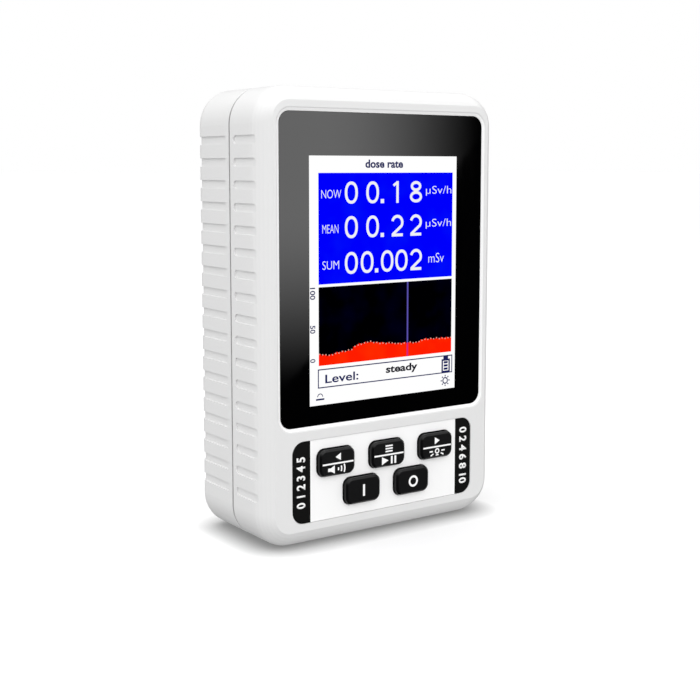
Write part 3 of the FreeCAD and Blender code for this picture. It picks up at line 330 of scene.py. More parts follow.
def wound_wire(name, colour):
    """Turns of enamelled wire lying side by side."""
    nodes = Coat(name)
    wave = nodes.add("ShaderNodeTexWave", bands_direction="Y", Scale=1.6, Distortion=0.4)
    nodes.join(nodes.place(), wave.inputs["Vector"])
    nodes.set(
        Base_Color=nodes.blend(wave.outputs["Fac"], shade(colour, 0.45), colour),
        Metallic=0.9,
        Roughness=0.3,
    )
    nodes.bump(wave.outputs["Fac"], 0.12)
    return nodes


def rounded_box_share(nodes, place, middle, half_width, half_height, radius):
    """1 inside a rounded rectangle seen from the front, and 0 outside it."""
    across, _, up = nodes.split(place)
    excess = []
    for value, centre, half in ((across, middle.x, half_width), (up, middle.z, half_height)):
        offset = nodes.math("ABSOLUTE", nodes.math("SUBTRACT", value, centre))
        excess.append(nodes.math("MAXIMUM", nodes.math("SUBTRACT", offset, half - radius), 0.0))
    squares = [nodes.math("MULTIPLY", value, value) for value in excess]
    distance = nodes.math("SQRT", nodes.math("ADD", *squares))
    return nodes.math("LESS_THAN", distance, radius)


CASE_WHITE = (0.77, 0.77, 0.77)
# Painted highlight: the bevel round the lens is coloured near white, brighter than the case, to stand in
# for the light it catches.
RIM_HIGHLIGHT = (0.96, 0.96, 0.96)
# Painted shade: grey put in the seam's groove between the shells to stand in for its shadow.
SEAM_SHADE_GREY = (0.50, 0.50, 0.50)
LENS_RIM = 0.85  # from the lens's edge to near the outside of the bevel round it
LENS_ROUND = 3.2
CASE_ROUND = 9.8
SEAM_GAP = 0.6
SEAM_SHADE_DEPTH = 0.1  # painted shade in the seam's groove lies deeper than this


def case_plastic():
    """Off-white case: the bevel round the lens has a painted highlight, and the seam's groove has painted
    shade.
    """
    nodes = moulded("case_plastic", CASE_WHITE, 0.42, grain=0.3, height=0.010, vary=0.015)
    place = nodes.place()
    half = (LENS_HIGH - LENS_LOW) / 2
    bevel = rounded_box_share(
        nodes, place, LENS_MIDDLE, half.x + LENS_RIM, half.z + LENS_RIM, LENS_ROUND + LENS_RIM
    )
    case_middle = (CASE_LOW + CASE_HIGH) / 2
    deep = (CASE_HIGH - CASE_LOW) / 2 - Vector((SEAM_SHADE_DEPTH, 0, SEAM_SHADE_DEPTH))
    inside = rounded_box_share(nodes, place, case_middle, deep.x, deep.z, CASE_ROUND - SEAM_SHADE_DEPTH)
    _, along, _ = nodes.split(place)
    # Share of the bevel round the lens that gets the painted highlight.
    rim = nodes.math("MULTIPLY", bevel, nodes.math("LESS_THAN", along, -SEAM_GAP))
    # Share of the seam's groove that is darkened with painted shade.
    seam = nodes.math(
        "MULTIPLY",
        nodes.math("GREATER_THAN", along, -SEAM_GAP - SEAM_SHADE_DEPTH),
        nodes.math("LESS_THAN", along, SEAM_SHADE_DEPTH),
    )
    grained = nodes.shader.inputs["Base Color"].links[0].from_socket
    highlighted = nodes.blend(rim, grained, RIM_HIGHLIGHT)
    nodes.set(Base_Color=nodes.blend(nodes.math("MULTIPLY", seam, inside), highlighted, SEAM_SHADE_GREY))
    return nodes


def key_black():
    """Dull black plastic that throws back little light."""
    nodes = moulded("key_black", (0.003, 0.003, 0.0033), 0.33, grain=0.22, height=0.006, vary=0.1)
    nodes.set(Specular_IOR_Level=0.25)
    return nodes


def lit(name, colour, ripple=0.03, haze=(0.0, 0.0, 0.0)):
    """A lit part of the display: its dots show faintly, and it may have a slow tinted haze."""
    nodes = Coat(name)
    place = nodes.place()
    across, _, up = nodes.split(place)
    waves = [
        nodes.math("SINE", nodes.math("MULTIPLY", value, 2 * math.pi / DOT_PITCH))
        for value in (across, up)
    ]
    dots = nodes.math("MULTIPLY", nodes.math("ADD", *waves), 0.5)
    level = nodes.remap(dots, 1 - ripple, 1 + ripple, -1.0, 1.0)
    cloud = nodes.remap(nodes.noise(place, 0.12), 0.0, 1.0, 0.45, 0.7)
    hazed = tuple(channel + extra for channel, extra in zip(colour, haze))
    glow = nodes.add("ShaderNodeVectorMath", operation="SCALE")
    nodes.join(nodes.blend(cloud, colour, hazed), glow.inputs[0])
    nodes.join(level, glow.inputs["Scale"])
    nodes.join(glow.outputs[0], nodes.shader.inputs["Emission Color"])
    nodes.set(
        Base_Color=(0.0, 0.0, 0.0),
        Emission_Strength=1.0,
        Specular_IOR_Level=0.0,
        Roughness=0.5,
    )
    return nodes


def printed(name, colour, roughness=0.35):
    """Screen-printed ink."""
    nodes = Coat(name)
    place = nodes.place()
    fine = nodes.noise(place, 6.0, detail=3.0)
    slow = nodes.noise(place, 0.6)
    nodes.set(
        Base_Color=nodes.blend(slow, shade(colour, 0.96), colour),
        Roughness=nodes.remap(fine, roughness * 0.8, roughness * 1.2),
        Specular_IOR_Level=0.12,
    )
    nodes.bump(fine, 0.004)
    return nodes


MATERIALS = {
    "case_plastic": case_plastic,
    "lens_black": lambda: glossy("lens_black", (0.0004, 0.0004, 0.0005), 0.03),
    "gasket_black": lambda: foam("gasket_black", (0.03, 0.03, 0.03)),
    "panel_glass": lambda: clear_glass("panel_glass", (0.8, 0.85, 0.9)),
    "tray_metal": lambda: metal("tray_metal", (0.62, 0.62, 0.64), 0.3, (1.0, 1.0, 0.05)),
    "foam_grey": lambda: foam("foam_grey", (0.25, 0.25, 0.26)),
    "flex_amber": lambda: glossy("flex_amber", (0.5, 0.24, 0.05), 0.25, vary=0.15),
    "connector_plastic": lambda: moulded("connector_plastic", (0.78, 0.75, 0.66), 0.5),
    "overlay_white": lambda: moulded("overlay_white", (0.98, 0.98, 0.98), 0.3, 0.2, 0.004, 0.005),
    "key_black": key_black,
    "plunger_black": lambda: moulded("plunger_black", (0.05, 0.05, 0.05), 0.5),
    "switch_body": lambda: moulded("switch_body", (0.07, 0.07, 0.07), 0.45),
    "board_green": lambda: circuit_board("board_green"),
    "screw_steel": lambda: metal("screw_steel", (0.60, 0.60, 0.62), 0.28),
    "port_steel": lambda: metal("port_steel", (0.66, 0.66, 0.68), 0.22, (1.0, 1.0, 0.1)),
    "tongue_black": lambda: moulded("tongue_black", (0.03, 0.03, 0.03), 0.4),
    "tube_glass": lambda: clear_glass("tube_glass", (0.92, 0.95, 0.95)),
    "cathode_metal": lambda: metal("cathode_metal", (0.68, 0.68, 0.68), 0.35, (1.0, 1.0, 0.05)),
    "anode_steel": lambda: metal("anode_steel", (0.5, 0.5, 0.5), 0.3, (1.0, 1.0, 0.05)),
    "brass": lambda: metal("brass", (0.78, 0.60, 0.28), 0.28),
    "ferrite": lambda: moulded("ferrite", (0.06, 0.06, 0.065), 0.7, 0.4, 0.03, 0.2),
    "copper_winding": lambda: wound_wire("copper_winding", (0.72, 0.35, 0.16)),
    "capacitor_red": lambda: glossy("capacitor_red", (0.42, 0.07, 0.04), 0.2, vary=0.15),
    "chip_black": lambda: moulded("chip_black", (0.025, 0.025, 0.025), 0.6, 0.3, 0.015, 0.2),
    "crystal_can": lambda: metal("crystal_can", (0.66, 0.66, 0.66), 0.2),
    "battery_foil": lambda: metal("battery_foil", (0.72, 0.73, 0.75), 0.38, grain=2.0, height=0.05),
    "lead_red": lambda: glossy("lead_red", (0.55, 0.02, 0.02), 0.3, vary=0.1),
    "lead_black": lambda: glossy("lead_black", (0.02, 0.02, 0.02), 0.3, vary=0.1),
}


def dress_nodes():
    """Give every node of the frame the material of its slot."""
    made = {slot: make().material for slot, make in MATERIALS.items()}
    for part in frame["record"]["subparts"]:
        item = frame["nodes"][part["node"]]
        item.data.materials.clear()
        item.data.materials.append(made[part["material_slot"]])


# ---------------------------------------------------------------------------------------------
# Thin printed and lit films, built in the plane that faces the front
# ---------------------------------------------------------------------------------------------


class Film:
    """Thin flat shapes at one depth, joined in one piece. Positions are in millimetres."""

    def __init__(self, name, front, left=0.0, foot=0.0):
        self.name = name
        self.front = front
        self.left = left
        self.foot = foot
        self.mesh = bmesh.new()

    def corner(self, x, z, depth):
        place = Vector((x + self.left, self.front + depth, z + self.foot))
        return self.mesh.verts.new(place * MM)

    def band(self, outer, inner):
        """The closed strip between two outlines with the same number of points."""
        count = len(outer)
        rings = [
            [self.corner(x, z, depth) for x, z in points]
            for points, depth in ((outer, 0.0), (inner, 0.0), (inner, FILM), (outer, FILM))
        ]
        for first, second in zip(rings, rings[1:] + rings[:1]):
            for step in range(count):
                following = (step + 1) % count
                self.mesh.faces.new(
                    (first[step], first[following], second[following], second[step])
                )

    def area(self, points):
        """A filled outline."""
        near = [self.corner(x, z, 0.0) for x, z in points]
        far = [self.corner(x, z, FILM) for x, z in points]
        count = len(points)
        self.mesh.faces.new(near)
        self.mesh.faces.new(far[::-1])
        for step in range(count):
            following = (step + 1) % count
            self.mesh.faces.new((near[following], near[step], far[step], far[following]))

    def rectangle(self, left, foot, right, head):
        self.area([(left, foot), (right, foot), (right, head), (left, head)])

    def frame(self, left, foot, right, head, line):
        """The outline of a rectangle, with its line inside."""
        self.band(*(
            [(left + inset, foot + inset), (right - inset, foot + inset),
             (right - inset, head - inset), (left + inset, head - inset)]
            for inset in (0.0, line)
        ))

    def words(self, words, left, width, middle, height, weight=0.0):
        """Level lettering placed by its left edge."""
        self.text(words, left + width / 2, middle, width, height, 0.0, weight)

    def stroke(self, points, width):
        """A line of even width through points, with square ends."""
        sides = [[], []]
        for index, (x, z) in enumerate(points):
            before = Vector(points[max(index - 1, 0)])
            after = Vector(points[min(index + 1, len(points) - 1)])
            here = Vector((x, z))
            into = (here - before).normalized() if index else (after - here).normalized()
            out = (after - here).normalized() if index < len(points) - 1 else into
            across = Vector((-(into + out).y, (into + out).x)).normalized()
            lean = max(across.dot(Vector((-into.y, into.x))), 0.35)
            offset = across * (width / 2 / lean)
            sides[0].append(here + offset)
            sides[1].append(here - offset)
        self.area([tuple(p) for p in sides[1] + sides[0][::-1]])

    def ring(self, x, z, half_width, half_height, width, power=2.0):
        """A closed oval line whose middle is at x, z."""
        outlines = []
        for grow in (width / 2, -width / 2):
            outlines.append([
                oval_point(x, z, half_width + grow, half_height + grow, step / RING_STEPS, power)
                for step in range(RING_STEPS)
            ])
        self.band(*outlines)

    def text(self, words, x, z, width, height, turn=0.0, weight=0.0):
        """Lettering fitted to a width and height about a middle, turned anticlockwise."""
        curve = bpy.data.curves.new("lettering", "FONT")
        curve.body = words
        curve.resolution_u = 4
        curve.offset = weight
        holder = bpy.data.objects.new("lettering", curve)
        bpy.context.scene.collection.objects.link(holder)
        shape = bpy.data.meshes.new_from_object(
            holder.evaluated_get(bpy.context.evaluated_depsgraph_get())
        )
        bpy.data.objects.remove(holder)
        corners = [vertex.co for vertex in shape.vertices]
        low = Vector([min(corner[axis] for corner in corners) for axis in range(3)])
        high = Vector([max(corner[axis] for corner in corners) for axis in range(3)])
        middle = (low + high) / 2
        size = high - low
        fit = Matrix.Diagonal((width / size.x, height / size.y, 1.0, 1.0))
        spin = Matrix.Rotation(turn, 4, "Z")
        made = bmesh.new()
        made.from_mesh(shape)
        bpy.data.meshes.remove(shape)
        bmesh.ops.transform(made, matrix=spin @ fit @ Matrix.Translation(-middle), verts=made.verts)
        extruded = bmesh.ops.extrude_face_region(made, geom=made.faces[:])
        lifted = [item for item in extruded["geom"] if isinstance(item, bmesh.types.BMVert)]
        x, z = x + self.left, z + self.foot
        for vertex in made.verts:
            vertex.co = Vector((x + vertex.co.x, self.front, z + vertex.co.y)) * MM
        for vertex in lifted:
            vertex.co.y += FILM * MM
        bmesh.ops.recalc_face_normals(made, faces=made.faces)
        merged = bpy.data.meshes.new("merged")
        made.to_mesh(merged)
        made.free()
        self.mesh.from_mesh(merged)
        bpy.data.meshes.remove(merged)

    def finish(self, material, body, slot):
        """Make the piece, and tie it to its body; the slot is not used."""
        bmesh.ops.recalc_face_normals(self.mesh, faces=self.mesh.faces)
        data = bpy.data.meshes.new(self.name)
        self.mesh.to_mesh(data)
        self.mesh.free()
        data.materials.append(material)
        piece = bpy.data.objects.new(self.name, data)
        bpy.context.scene.collection.objects.link(piece)
        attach(piece, body)


def oval_point(x, z, half_width, half_height, share, power=2.0):
    """A point on an oval, or on a squarer one for a power over 2."""
    angle = 2 * math.pi * share
    across, up = math.cos(angle), math.sin(angle)
    bend = 2.0 / power
    return (
        x + half_width * math.copysign(abs(across) ** bend, across),
        z + half_height * math.copysign(abs(up) ** bend, up),
    )


def arc(x, z, radius, start, end):
    """Points along an arc, from one angle in degrees to another."""
    angles = [math.radians(start + (end - start) * step / ARC_STEPS) for step in range(ARC_STEPS + 1)]
    return [(x + radius * math.cos(angle), z + radius * math.sin(angle)) for angle in angles]


# ---------------------------------------------------------------------------------------------
# The display's picture, laid out from its own lower left corner
# ---------------------------------------------------------------------------------------------

READINGS_LEFT, READINGS_RIGHT = 2.8, 47.25
READINGS_FOOT, READINGS_HEAD = 31.65, 60.4
PLOT_FOOT, PLOT_HEAD = 10.4, 30.95
DIGIT_HEIGHT = 5.8
DIGIT_WIDTH = 4.5
DIGIT_STROKE = 0.78
COUNTS = (3.0, 2.5, 3.1, 3.2, 4.7, 5.0, 4.6, 4.2, 3.8, 3.8, 3.5, 4.3, 4.1, 4.1, 4.0)
BAR_COUNT = 130
CURSOR = 31.5
CURSOR_WIDTH = 0.5
MESSAGE_LEFT, MESSAGE_RIGHT = 2.5, 47.7
MESSAGE_FOOT, MESSAGE_HEAD = 4.45, 9.5
MESSAGE_LINE = 0.3
DOT_EVERY = 3  # every so many plotted bars has a pale dot
SUN_RAYS = 8


def screen_film(name, layer):
    """A film on the lens's front whose shapes are placed from the picture's corner."""
    return Film(name, LENS_LOW.y - LAYER * layer, SCREEN_LEFT, SCREEN_FOOT)


def digit(film, sign, left, foot):
    """One large digit, drawn with an even stroke as on a simple display font."""
    width, height, stroke = DIGIT_WIDTH, DIGIT_HEIGHT, DIGIT_STROKE
    middle = left + width / 2
    half = stroke / 2
    if sign == "0":
        film.ring(middle, foot + height / 2, width * 0.46 - half, height / 2 - half, stroke,
                  power=2.2)
    elif sign == "8":
        for share, wide in ((0.27, 0.46), (0.76, 0.4)):
            rise = height * min(share, 1 - share) - half
            film.ring(middle, foot + height * share, width * wide - half, rise, stroke)
    elif sign == "1":
        stem = left + width * 0.55
        film.stroke([(stem, foot), (stem, foot + height)], stroke)
        film.stroke([(stem, foot + height * 0.95), (stem - width * 0.3, foot + height * 0.8)],
                    stroke * 0.9)
    elif sign == "2":
        radius = width * 0.46 - half
        bowl = arc(middle, foot + height - half - radius, radius, 165, -35)
        film.stroke(bowl + [(left + half * 1.8, foot + half * 1.4)], stroke)
        film.stroke([(left + half, foot + half), (left + width - half, foot + half)], stroke)
    elif sign == ".":
        film.rectangle(left, foot, left + 1.1, foot + 1.1)


def reading_rows(film):
    """Three rows of figures with their labels and units."""
    rows = (
        (52.35, "NOW", 3.7, 6.2, "µSv/h", 37.9, 8.9, "00.18", (10.85, 17.7, 22.6, 25.7, 32.2)),
        (43.35, "MEAN", 4.0, 5.0, "µSv/h", 37.9, 8.9, "00.22", (10.85, 17.7, 22.6, 25.9, 32.2)),
        (33.95, "SUM", 4.0, 5.2, "mSv", 38.9, 5.4, "00.002",
         (10.85, 15.95, 20.75, 22.55, 27.35, 32.3)),
    )
    for foot, label, label_left, label_width, unit, unit_left, unit_width, signs, lefts in rows:
        for sign, left in zip(signs, lefts):
            digit(film, sign, left, foot)
        film.words(label, label_left, label_width, foot + 2.6, 2.2, THIN)
        film.words(unit, unit_left, unit_width, foot + 3.1, 2.6, THIN)


def count_level(share):
    """Height of the plotted counts at a share of the plot's width."""
    spot = share * (len(COUNTS) - 1)
    index = min(int(spot), len(COUNTS) - 2)
    part = spot - index
    ease = part * part * (3 - 2 * part)
    return COUNTS[index] * (1 - ease) + COUNTS[index + 1] * ease


def count_bars():
    """Left edge, right edge and top of each plotted bar, with small even jitter."""
    pitch = (READINGS_RIGHT - READINGS_LEFT) / BAR_COUNT
    for step in range(BAR_COUNT):
        jitter = 0.14 * math.sin(step * 2.39) + 0.12 * math.sin(step * 5.13 + 1.0)
        left = READINGS_LEFT + step * pitch
        yield left, left + pitch, PLOT_FOOT + count_level((step + 0.5) / BAR_COUNT) + jitter


def count_plot():
    """Red bars of the counts, with pale dots along their tops."""
    counts = screen_film("display_counts", 3)
    dots = screen_film("display_dots", 4)
    outline = []
    for step, (left, right, top) in enumerate(count_bars()):
        outline += [(left, top), (right, top)]
        if step % DOT_EVERY == 0:
            dots.rectangle(left, top - 0.16, right, top + 0.16)
    foot = [(READINGS_RIGHT, PLOT_FOOT), (READINGS_LEFT, PLOT_FOOT)]
    counts.area(outline + foot)
    counts.finish(lit("display_red", (1.0, 0.012, 0.0), 0.15, (0.0, 0.012, 0.0)).material,
                  "case", "lens_black")
    dots.finish(lit("display_pink", (0.8, 0.36, 0.3)).material, "case", "lens_black")


def cursor_line():
    """The cursor: violet over the plot and magenta over the counts."""
    top = PLOT_FOOT + count_level((CURSOR - READINGS_LEFT) / (READINGS_RIGHT - READINGS_LEFT))
    for name, foot, head, colour in (
        ("display_cursor", top, PLOT_HEAD, (0.10, 0.08, 0.40)),
        ("display_cursor_foot", PLOT_FOOT, top, (0.62, 0.02, 0.22)),
    ):
        film = screen_film(name, 5)
        film.rectangle(CURSOR, foot, CURSOR + CURSOR_WIDTH, head)
        film.finish(lit(name, colour).material, "case", "lens_black")


def screen_notes():
    """Dark title, scale numbers, message line and small signs."""
    notes = screen_film("display_notes", 2)
    notes.words("dose rate", 17.6, 12.4, 62.75, 2.2, HEAVY)
    for number, middle, length in (("100", 29.4, 3.1), ("50", 20.1, 2.1), ("0", 11.9, 1.0)):
        notes.text(number, 0.95, middle, length, 1.6, -math.pi / 2, BOLD)
    notes.words("Level:", 4.8, 10.6, 6.75, 2.3, BOLD)
    notes.frame(MESSAGE_LEFT, MESSAGE_FOOT, MESSAGE_RIGHT, MESSAGE_HEAD, MESSAGE_LINE)
    battery_sign(notes, 45.35, 6.95)
    sun_sign(notes, 45.2, 2.35, 0.8, 0.34)
    bell_sign(notes, 3.2, 1.3)
    notes.finish(lit("display_ink", (0.012, 0.016, 0.10)).material, "case", "lens_black")

    message = screen_film("display_message", 2)
    message.words("steady", 24.5, 10.8, 7.15, 2.7, HEAVY)
    message.finish(lit("display_dark", (0.012, 0.012, 0.02)).material, "case", "lens_black")


def display_picture():
    """White page, blue readings, black plot with red counts, cursor, scale and message line."""
    page = screen_film("display_page", 1)
    page.rectangle(0, 0, SCREEN_WIDTH, SCREEN_HEIGHT)
    page.finish(lit("display_white", (1.0, 1.0, 1.0), 0.01).material, "case", "lens_black")

    panel = screen_film("display_readings", 2)
    panel.rectangle(READINGS_LEFT, READINGS_FOOT, READINGS_RIGHT, READINGS_HEAD)
    panel.finish(lit("display_blue", (0.0, 0.0, 0.97), 0.06, (0.0, 0.004, 0.0)).material,
                 "case", "lens_black")

    plot = screen_film("display_plot", 2)
    plot.rectangle(READINGS_LEFT, PLOT_FOOT, READINGS_RIGHT, PLOT_HEAD)
    plot.finish(lit("display_black", (0.0, 0.0, 0.0003), 0.0, (0.0, 0.0, 0.006)).material,
                "case", "lens_black")

    figures = screen_film("display_figures", 3)
    reading_rows(figures)
    figures.finish(lit("display_pale", (0.87, 0.87, 0.92), 0.05).material, "case", "lens_black")

    count_plot()
    cursor_line()
    screen_notes()


def battery_sign(film, x, z):
    """A small upright battery with three charge bars."""
    film.frame(x - 1.5, z - 2.3, x + 1.5, z + 1.5, 0.5)
    film.rectangle(x - 0.85, z + 1.5, x + 0.85, z + 2.3)
    for step in range(3):
        film.rectangle(x - 0.7, z - 1.55 + step * 0.9, x + 0.7, z - 0.95 + step * 0.9)


def sun_sign(film, x, z, radius, stroke):
    """A ring with short rays round it."""
    film.ring(x, z, radius, radius, stroke)
    for step in range(SUN_RAYS):
        angle = 2 * math.pi * step / SUN_RAYS
        points = [
            (x + reach * radius * math.cos(angle), z + reach * radius * math.sin(angle))
            for reach in (1.45, 2.0)
        ]
        film.stroke(points, stroke)


def bell_sign(film, x, z):
    """A small alarm bell over a line."""
    film.rectangle(x - 1.3, z, x + 1.3, z + 0.45)
    film.stroke(arc(x, z + 0.9, 0.8, 0, 180), 0.22)


# ---------------------------------------------------------------------------------------------
# Printing on the keypad
# ---------------------------------------------------------------------------------------------

END_WIDTH = 5.55
END_ROUND = 3.4


def end_outline(side):
    """Outline of the black strip at one end of the overlay: rounded outside, straight inside."""
    outer = OVERLAY_HIGH.x if side > 0 else OVERLAY_LOW.x
    inner = outer - side * END_WIDTH
    foot, head = OVERLAY_LOW.z, OVERLAY_HIGH.z
    centre = outer - side * END_ROUND
    low = [(centre + side * END_ROUND * math.sin(a), foot + END_ROUND * (1 - math.cos(a)))
           for a in [step / 10 * math.pi / 2 for step in range(11)]]
    high = [(px, head + foot - pz) for px, pz in low[::-1]]
    return [(inner, foot)] + low + high + [(inner, head)]


def keypad_ends(black, white):
    """Black strips at the ends of the overlay with a plain printed row of numbers."""
    strips = Film("keypad_ends", OVERLAY_LOW.y - LAYER)
    numbers = Film("keypad_numbers", OVERLAY_LOW.y - 2 * LAYER)
    middle = (OVERLAY_LOW.z + OVERLAY_HIGH.z) / 2
    for side, row, length in ((-1, "0 1 2 3 4 5", 13.7), (1, "0 2 4 6 8 10", 16.4)):
        strips.area(end_outline(side))
        outer = OVERLAY_HIGH.x if side > 0 else OVERLAY_LOW.x
        x = outer - side * END_WIDTH * 0.48
        numbers.text(row, x, middle, length, 2.7, -side * math.pi / 2, HEAVY)
    strips.finish(black, "case", "overlay_white")
    numbers.finish(white, "case", "overlay_white")


def speaker_sign(film, x, z):
    """A loudspeaker with sound waves."""
    film.area([(x - 3.2, z - 0.45), (x - 2.3, z - 0.45), (x - 1.1, z - 1.1), (x - 1.1, z + 1.1),
               (x - 2.3, z + 0.45), (x - 3.2, z + 0.45)])
    for radius in (1.0, 2.0, 3.0):
        film.stroke(arc(x - 0.9, z, radius, -22, 22), 0.42)


def play_sign(film, x, z):
    """A play arrow and two pause bars."""
    film.area([(x - 2.4, z - 1.1), (x - 0.2, z), (x - 2.4, z + 1.1)])
    for start in (0.6, 1.8):
        film.rectangle(x + start, z - 1.05, x + start + 0.6, z + 1.05)


def lamp_sign(film, x, z):
    """A light bulb with two rays on each side."""
    film.ring(x, z + 0.3, 0.6, 0.6, 0.38)
    film.rectangle(x - 0.5, z - 1.0, x + 0.5, z - 0.65)
    for side in (-1, 1):
        film.stroke([(x + side * 1.5, z + 0.3), (x + side * 2.7, z + 0.3)], 0.38)
        film.stroke([(x + side * 1.3, z - 0.4), (x + side * 2.3, z - 0.9)], 0.38)


def arrow_sign(side):
    """A small arrow head to one side."""
    def draw(film, x, z):
        film.area([(x - side * 0.85, z - 1.0), (x + side * 0.85, z), (x - side * 0.85, z + 1.0)])
    return draw


def menu_sign(film, x, z):
    """Three short lines."""
    for step in (-1, 0, 1):
        film.rectangle(x - 1.2, z + step * 0.75 - 0.2, x + 1.2, z + step * 0.75 + 0.2)


def on_sign(film, x, z):
    """An upright bar, the common sign for on."""
    film.rectangle(x - 0.32, z - 1.6, x + 0.32, z + 1.6)


def off_sign(film, x, z):
    """A ring, the common sign for off."""
    film.ring(x, z, 1.3, 1.3, 0.6)


KEY_MARKS = {
    "sound": (arrow_sign(-1), speaker_sign),
    "play": (menu_sign, play_sign),
    "light": (arrow_sign(1), lamp_sign),
}
SINGLE_MARKS = {"on": on_sign, "off": off_sign}


def key_signs(white):
    """White printing on each key, riding on the key."""
    for name in KEYS:
        low, high = box_mm(f"{name}_key")
        x, z = (low.x + high.x) / 2, (low.z + high.z) / 2
        film = Film(f"{name}_sign", low.y - LAYER)
        if name in KEY_MARKS:
            upper, lower = KEY_MARKS[name]
            film.rectangle(x - 4.9, z - 0.47, x + 4.9, z - 0.03)
            upper(film, x, z + 1.45)
            lower(film, x, z - 1.8)
        else:
            SINGLE_MARKS[name](film, x, z - 0.1)
        film.finish(white, f"{name}_button", "key_black")


# ---------------------------------------------------------------------------------------------
# Studio: camera, floor and lights
# ---------------------------------------------------------------------------------------------

CAMERA_PLACE = (-191.9, -276.0, 99.0)
CAMERA_YAW, CAMERA_PITCH = 34.77, 6.27  # degrees to the right and downward
CAMERA_LENS, CAMERA_SENSOR = 62.1, 36.0
CAMERA_SHIFT = -0.07
FLOOR_REACH = 30.0  # metres from the object to the floor's edge
FLOOR_DROP = 0.0001
KEY_PLACE, KEY_SIZE, KEY_POWER = (-0.3, -0.75, 0.66), 0.8, 2.3
UPPER_PLACE, UPPER_SIZE, UPPER_POWER = (-0.5, 0.1, 1.0), 0.7, 2.2
SKY_LOW_LIGHT, SKY_HIGH_LIGHT = 1.33, 0.95
FLOOR_BOUNCE = 0.62  # light from the floor onto the object
FLOOR_LIFT = 0.07  # light that keeps the open floor white
CONTACT_REACH = 0.007  # how far the shadow at the object's foot reaches
CONTACT_DEPTH = 1.4
OVERHEAD_LIGHT = 1.5
# The window's light as seen in the lens: sideways and upward slopes from the lens's own axis.
WINDOW_LIGHT = 3.1
WINDOW_START = 0.3
WINDOW_FADE_LEFT, WINDOW_RIGHT = 0.66, 0.87
WINDOW_FOOT, WINDOW_FULL = -0.22, -0.042
WINDOW_SOFTNESS = 0.15
WINDOW_SLANT_START, WINDOW_SLANT_END = -0.836, -0.828


def studio_camera():
    """The camera stands to the left of the front, a little above the object's middle."""
    data = bpy.data.cameras.new("camera")
    data.lens = CAMERA_LENS
    data.sensor_width = CAMERA_SENSOR
    data.shift_y = CAMERA_SHIFT
    data.clip_start = 0.01
    camera = bpy.data.objects.new("camera", data)
    bpy.context.scene.collection.objects.link(camera)
    yaw, pitch = math.radians(CAMERA_YAW), math.radians(CAMERA_PITCH)
    camera.location = Vector(CAMERA_PLACE) * MM
    camera.rotation_euler = (math.pi / 2 - pitch, 0.0, -yaw)
    bpy.context.scene.camera = camera


def studio_floor():
    """A plain pale floor with a soft shadow at the foot, and an even, weaker light on the object."""
    nodes = Coat("studio_floor")
    slow = nodes.noise(nodes.place(), 0.01)
    seen = nodes.add("ShaderNodeLightPath").outputs["Is Camera Ray"]
    hollow = nodes.add("ShaderNodeAmbientOcclusion", samples=16, Distance=CONTACT_REACH)
    dusk = nodes.math("POWER", hollow.outputs["AO"], CONTACT_DEPTH)
    pale = nodes.blend(dusk, (0.3, 0.3, 0.3), nodes.blend(slow, (0.86, 0.86, 0.86), (0.88, 0.88, 0.88)))
    nodes.set(
        Base_Color=nodes.blend(seen, (0.0, 0.0, 0.0), pale),
        Roughness=0.6,
        Specular_IOR_Level=0.0,
        Emission_Color=(1.0, 1.0, 1.0),
        Emission_Strength=nodes.choose(seen, FLOOR_BOUNCE, FLOOR_LIFT),
    )
    data = bpy.data.meshes.new("studio_floor")
    corners = [(x * FLOOR_REACH, y * FLOOR_REACH, 0) for x, y in ((-1, -1), (1, -1), (1, 1), (-1, 1))]
    data.from_pydata(corners, [], [(0, 1, 2, 3)])
    data.materials.append(nodes.material)
    floor = bpy.data.objects.new("studio_floor", data)
    floor.location.z = cad_box[0].z - FLOOR_DROP
    bpy.context.scene.collection.objects.link(floor)
    floor.visible_glossy = False


def soft_light(name, place, target, size, power):
    """A square soft light aimed at a point."""
    data = bpy.data.lights.new(name, "AREA")
    data.shape = "SQUARE"
    data.size = size
    data.energy = power
    light = bpy.data.objects.new(name, data)
    light.location = place
    light.rotation_euler = (Vector(target) - Vector(place)).to_track_quat("-Z", "Y").to_euler()
    bpy.context.scene.collection.objects.link(light)
    return light


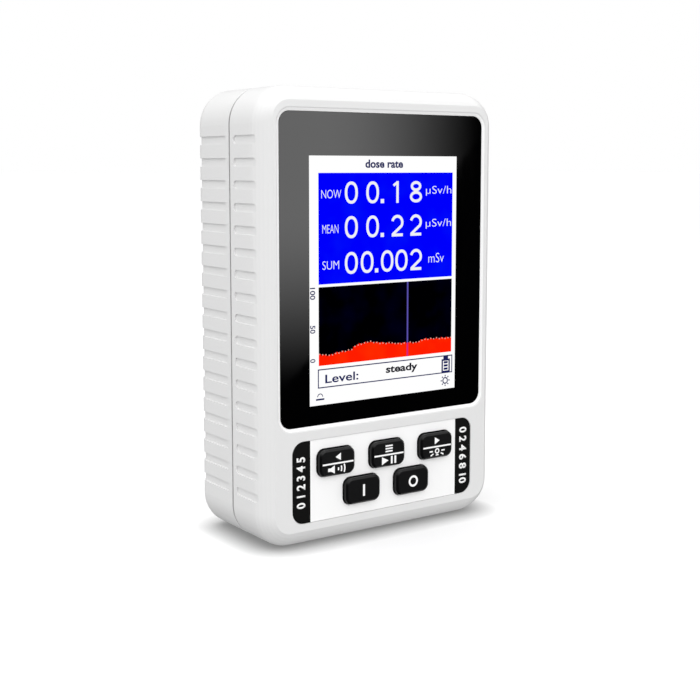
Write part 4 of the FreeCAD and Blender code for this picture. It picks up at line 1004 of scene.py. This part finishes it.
def studio_lights():
    """White surroundings, a soft key light, and dark surroundings with a window to reflect."""
    world = bpy.data.worlds.new("studio")
    bpy.context.scene.world = world
    world.use_nodes = True
    nodes = Nodes(world.node_tree)
    across, along, up = nodes.split(nodes.add("ShaderNodeTexCoord").outputs["Generated"])
    ahead = nodes.math("MAXIMUM", nodes.math("MULTIPLY", along, -1.0), 0.001)
    side = nodes.math("DIVIDE", across, ahead)
    rise = nodes.math("DIVIDE", up, ahead)
    left = nodes.soft_step(side, WINDOW_RIGHT, WINDOW_FADE_LEFT)
    edge = nodes.soft_step(side, WINDOW_START, WINDOW_START + WINDOW_SOFTNESS)
    high = nodes.soft_step(rise, WINDOW_FOOT, WINDOW_FULL)
    slant = nodes.math("SUBTRACT", rise, side)
    corner = nodes.soft_step(slant, WINDOW_SLANT_START, WINDOW_SLANT_END)
    window = nodes.math("MULTIPLY", nodes.math("MULTIPLY", left, edge),
                        nodes.math("MULTIPLY", high, corner))
    overhead = nodes.soft_step(up, 0.3, 0.9)
    mirrored = nodes.math("ADD", nodes.math("MULTIPLY", window, WINDOW_LIGHT),
                          nodes.math("MULTIPLY", overhead, OVERHEAD_LIGHT))
    paths = nodes.add("ShaderNodeLightPath").outputs
    sky = nodes.remap(up, SKY_LOW_LIGHT, SKY_HIGH_LIGHT)
    strength = nodes.choose(paths["Is Glossy Ray"], sky, mirrored)
    strength = nodes.choose(paths["Is Camera Ray"], strength, 1.0)
    background = nodes.add("ShaderNodeBackground", Strength=strength)
    background.inputs["Color"].default_value = (1.0, 1.0, 1.0, 1.0)
    output = nodes.add("ShaderNodeOutputWorld")
    nodes.join(background.outputs[0], output.inputs["Surface"])

    middle = (cad_box[0] + cad_box[1]) / 2
    soft_light("key_light", KEY_PLACE, middle, KEY_SIZE, KEY_POWER)
    soft_light("upper_left_light", UPPER_PLACE, middle, UPPER_SIZE, UPPER_POWER)
    bpy.context.scene.view_settings.view_transform = "Standard"


studio_camera()
dress_nodes()
display_picture()
ink_black = printed("print_black", (0.004, 0.004, 0.004), 0.4).material
ink_white = printed("print_white", (0.97, 0.97, 0.97), 0.45).material
keypad_ends(ink_black, ink_white)
key_signs(ink_white)
studio_floor()
studio_lights()
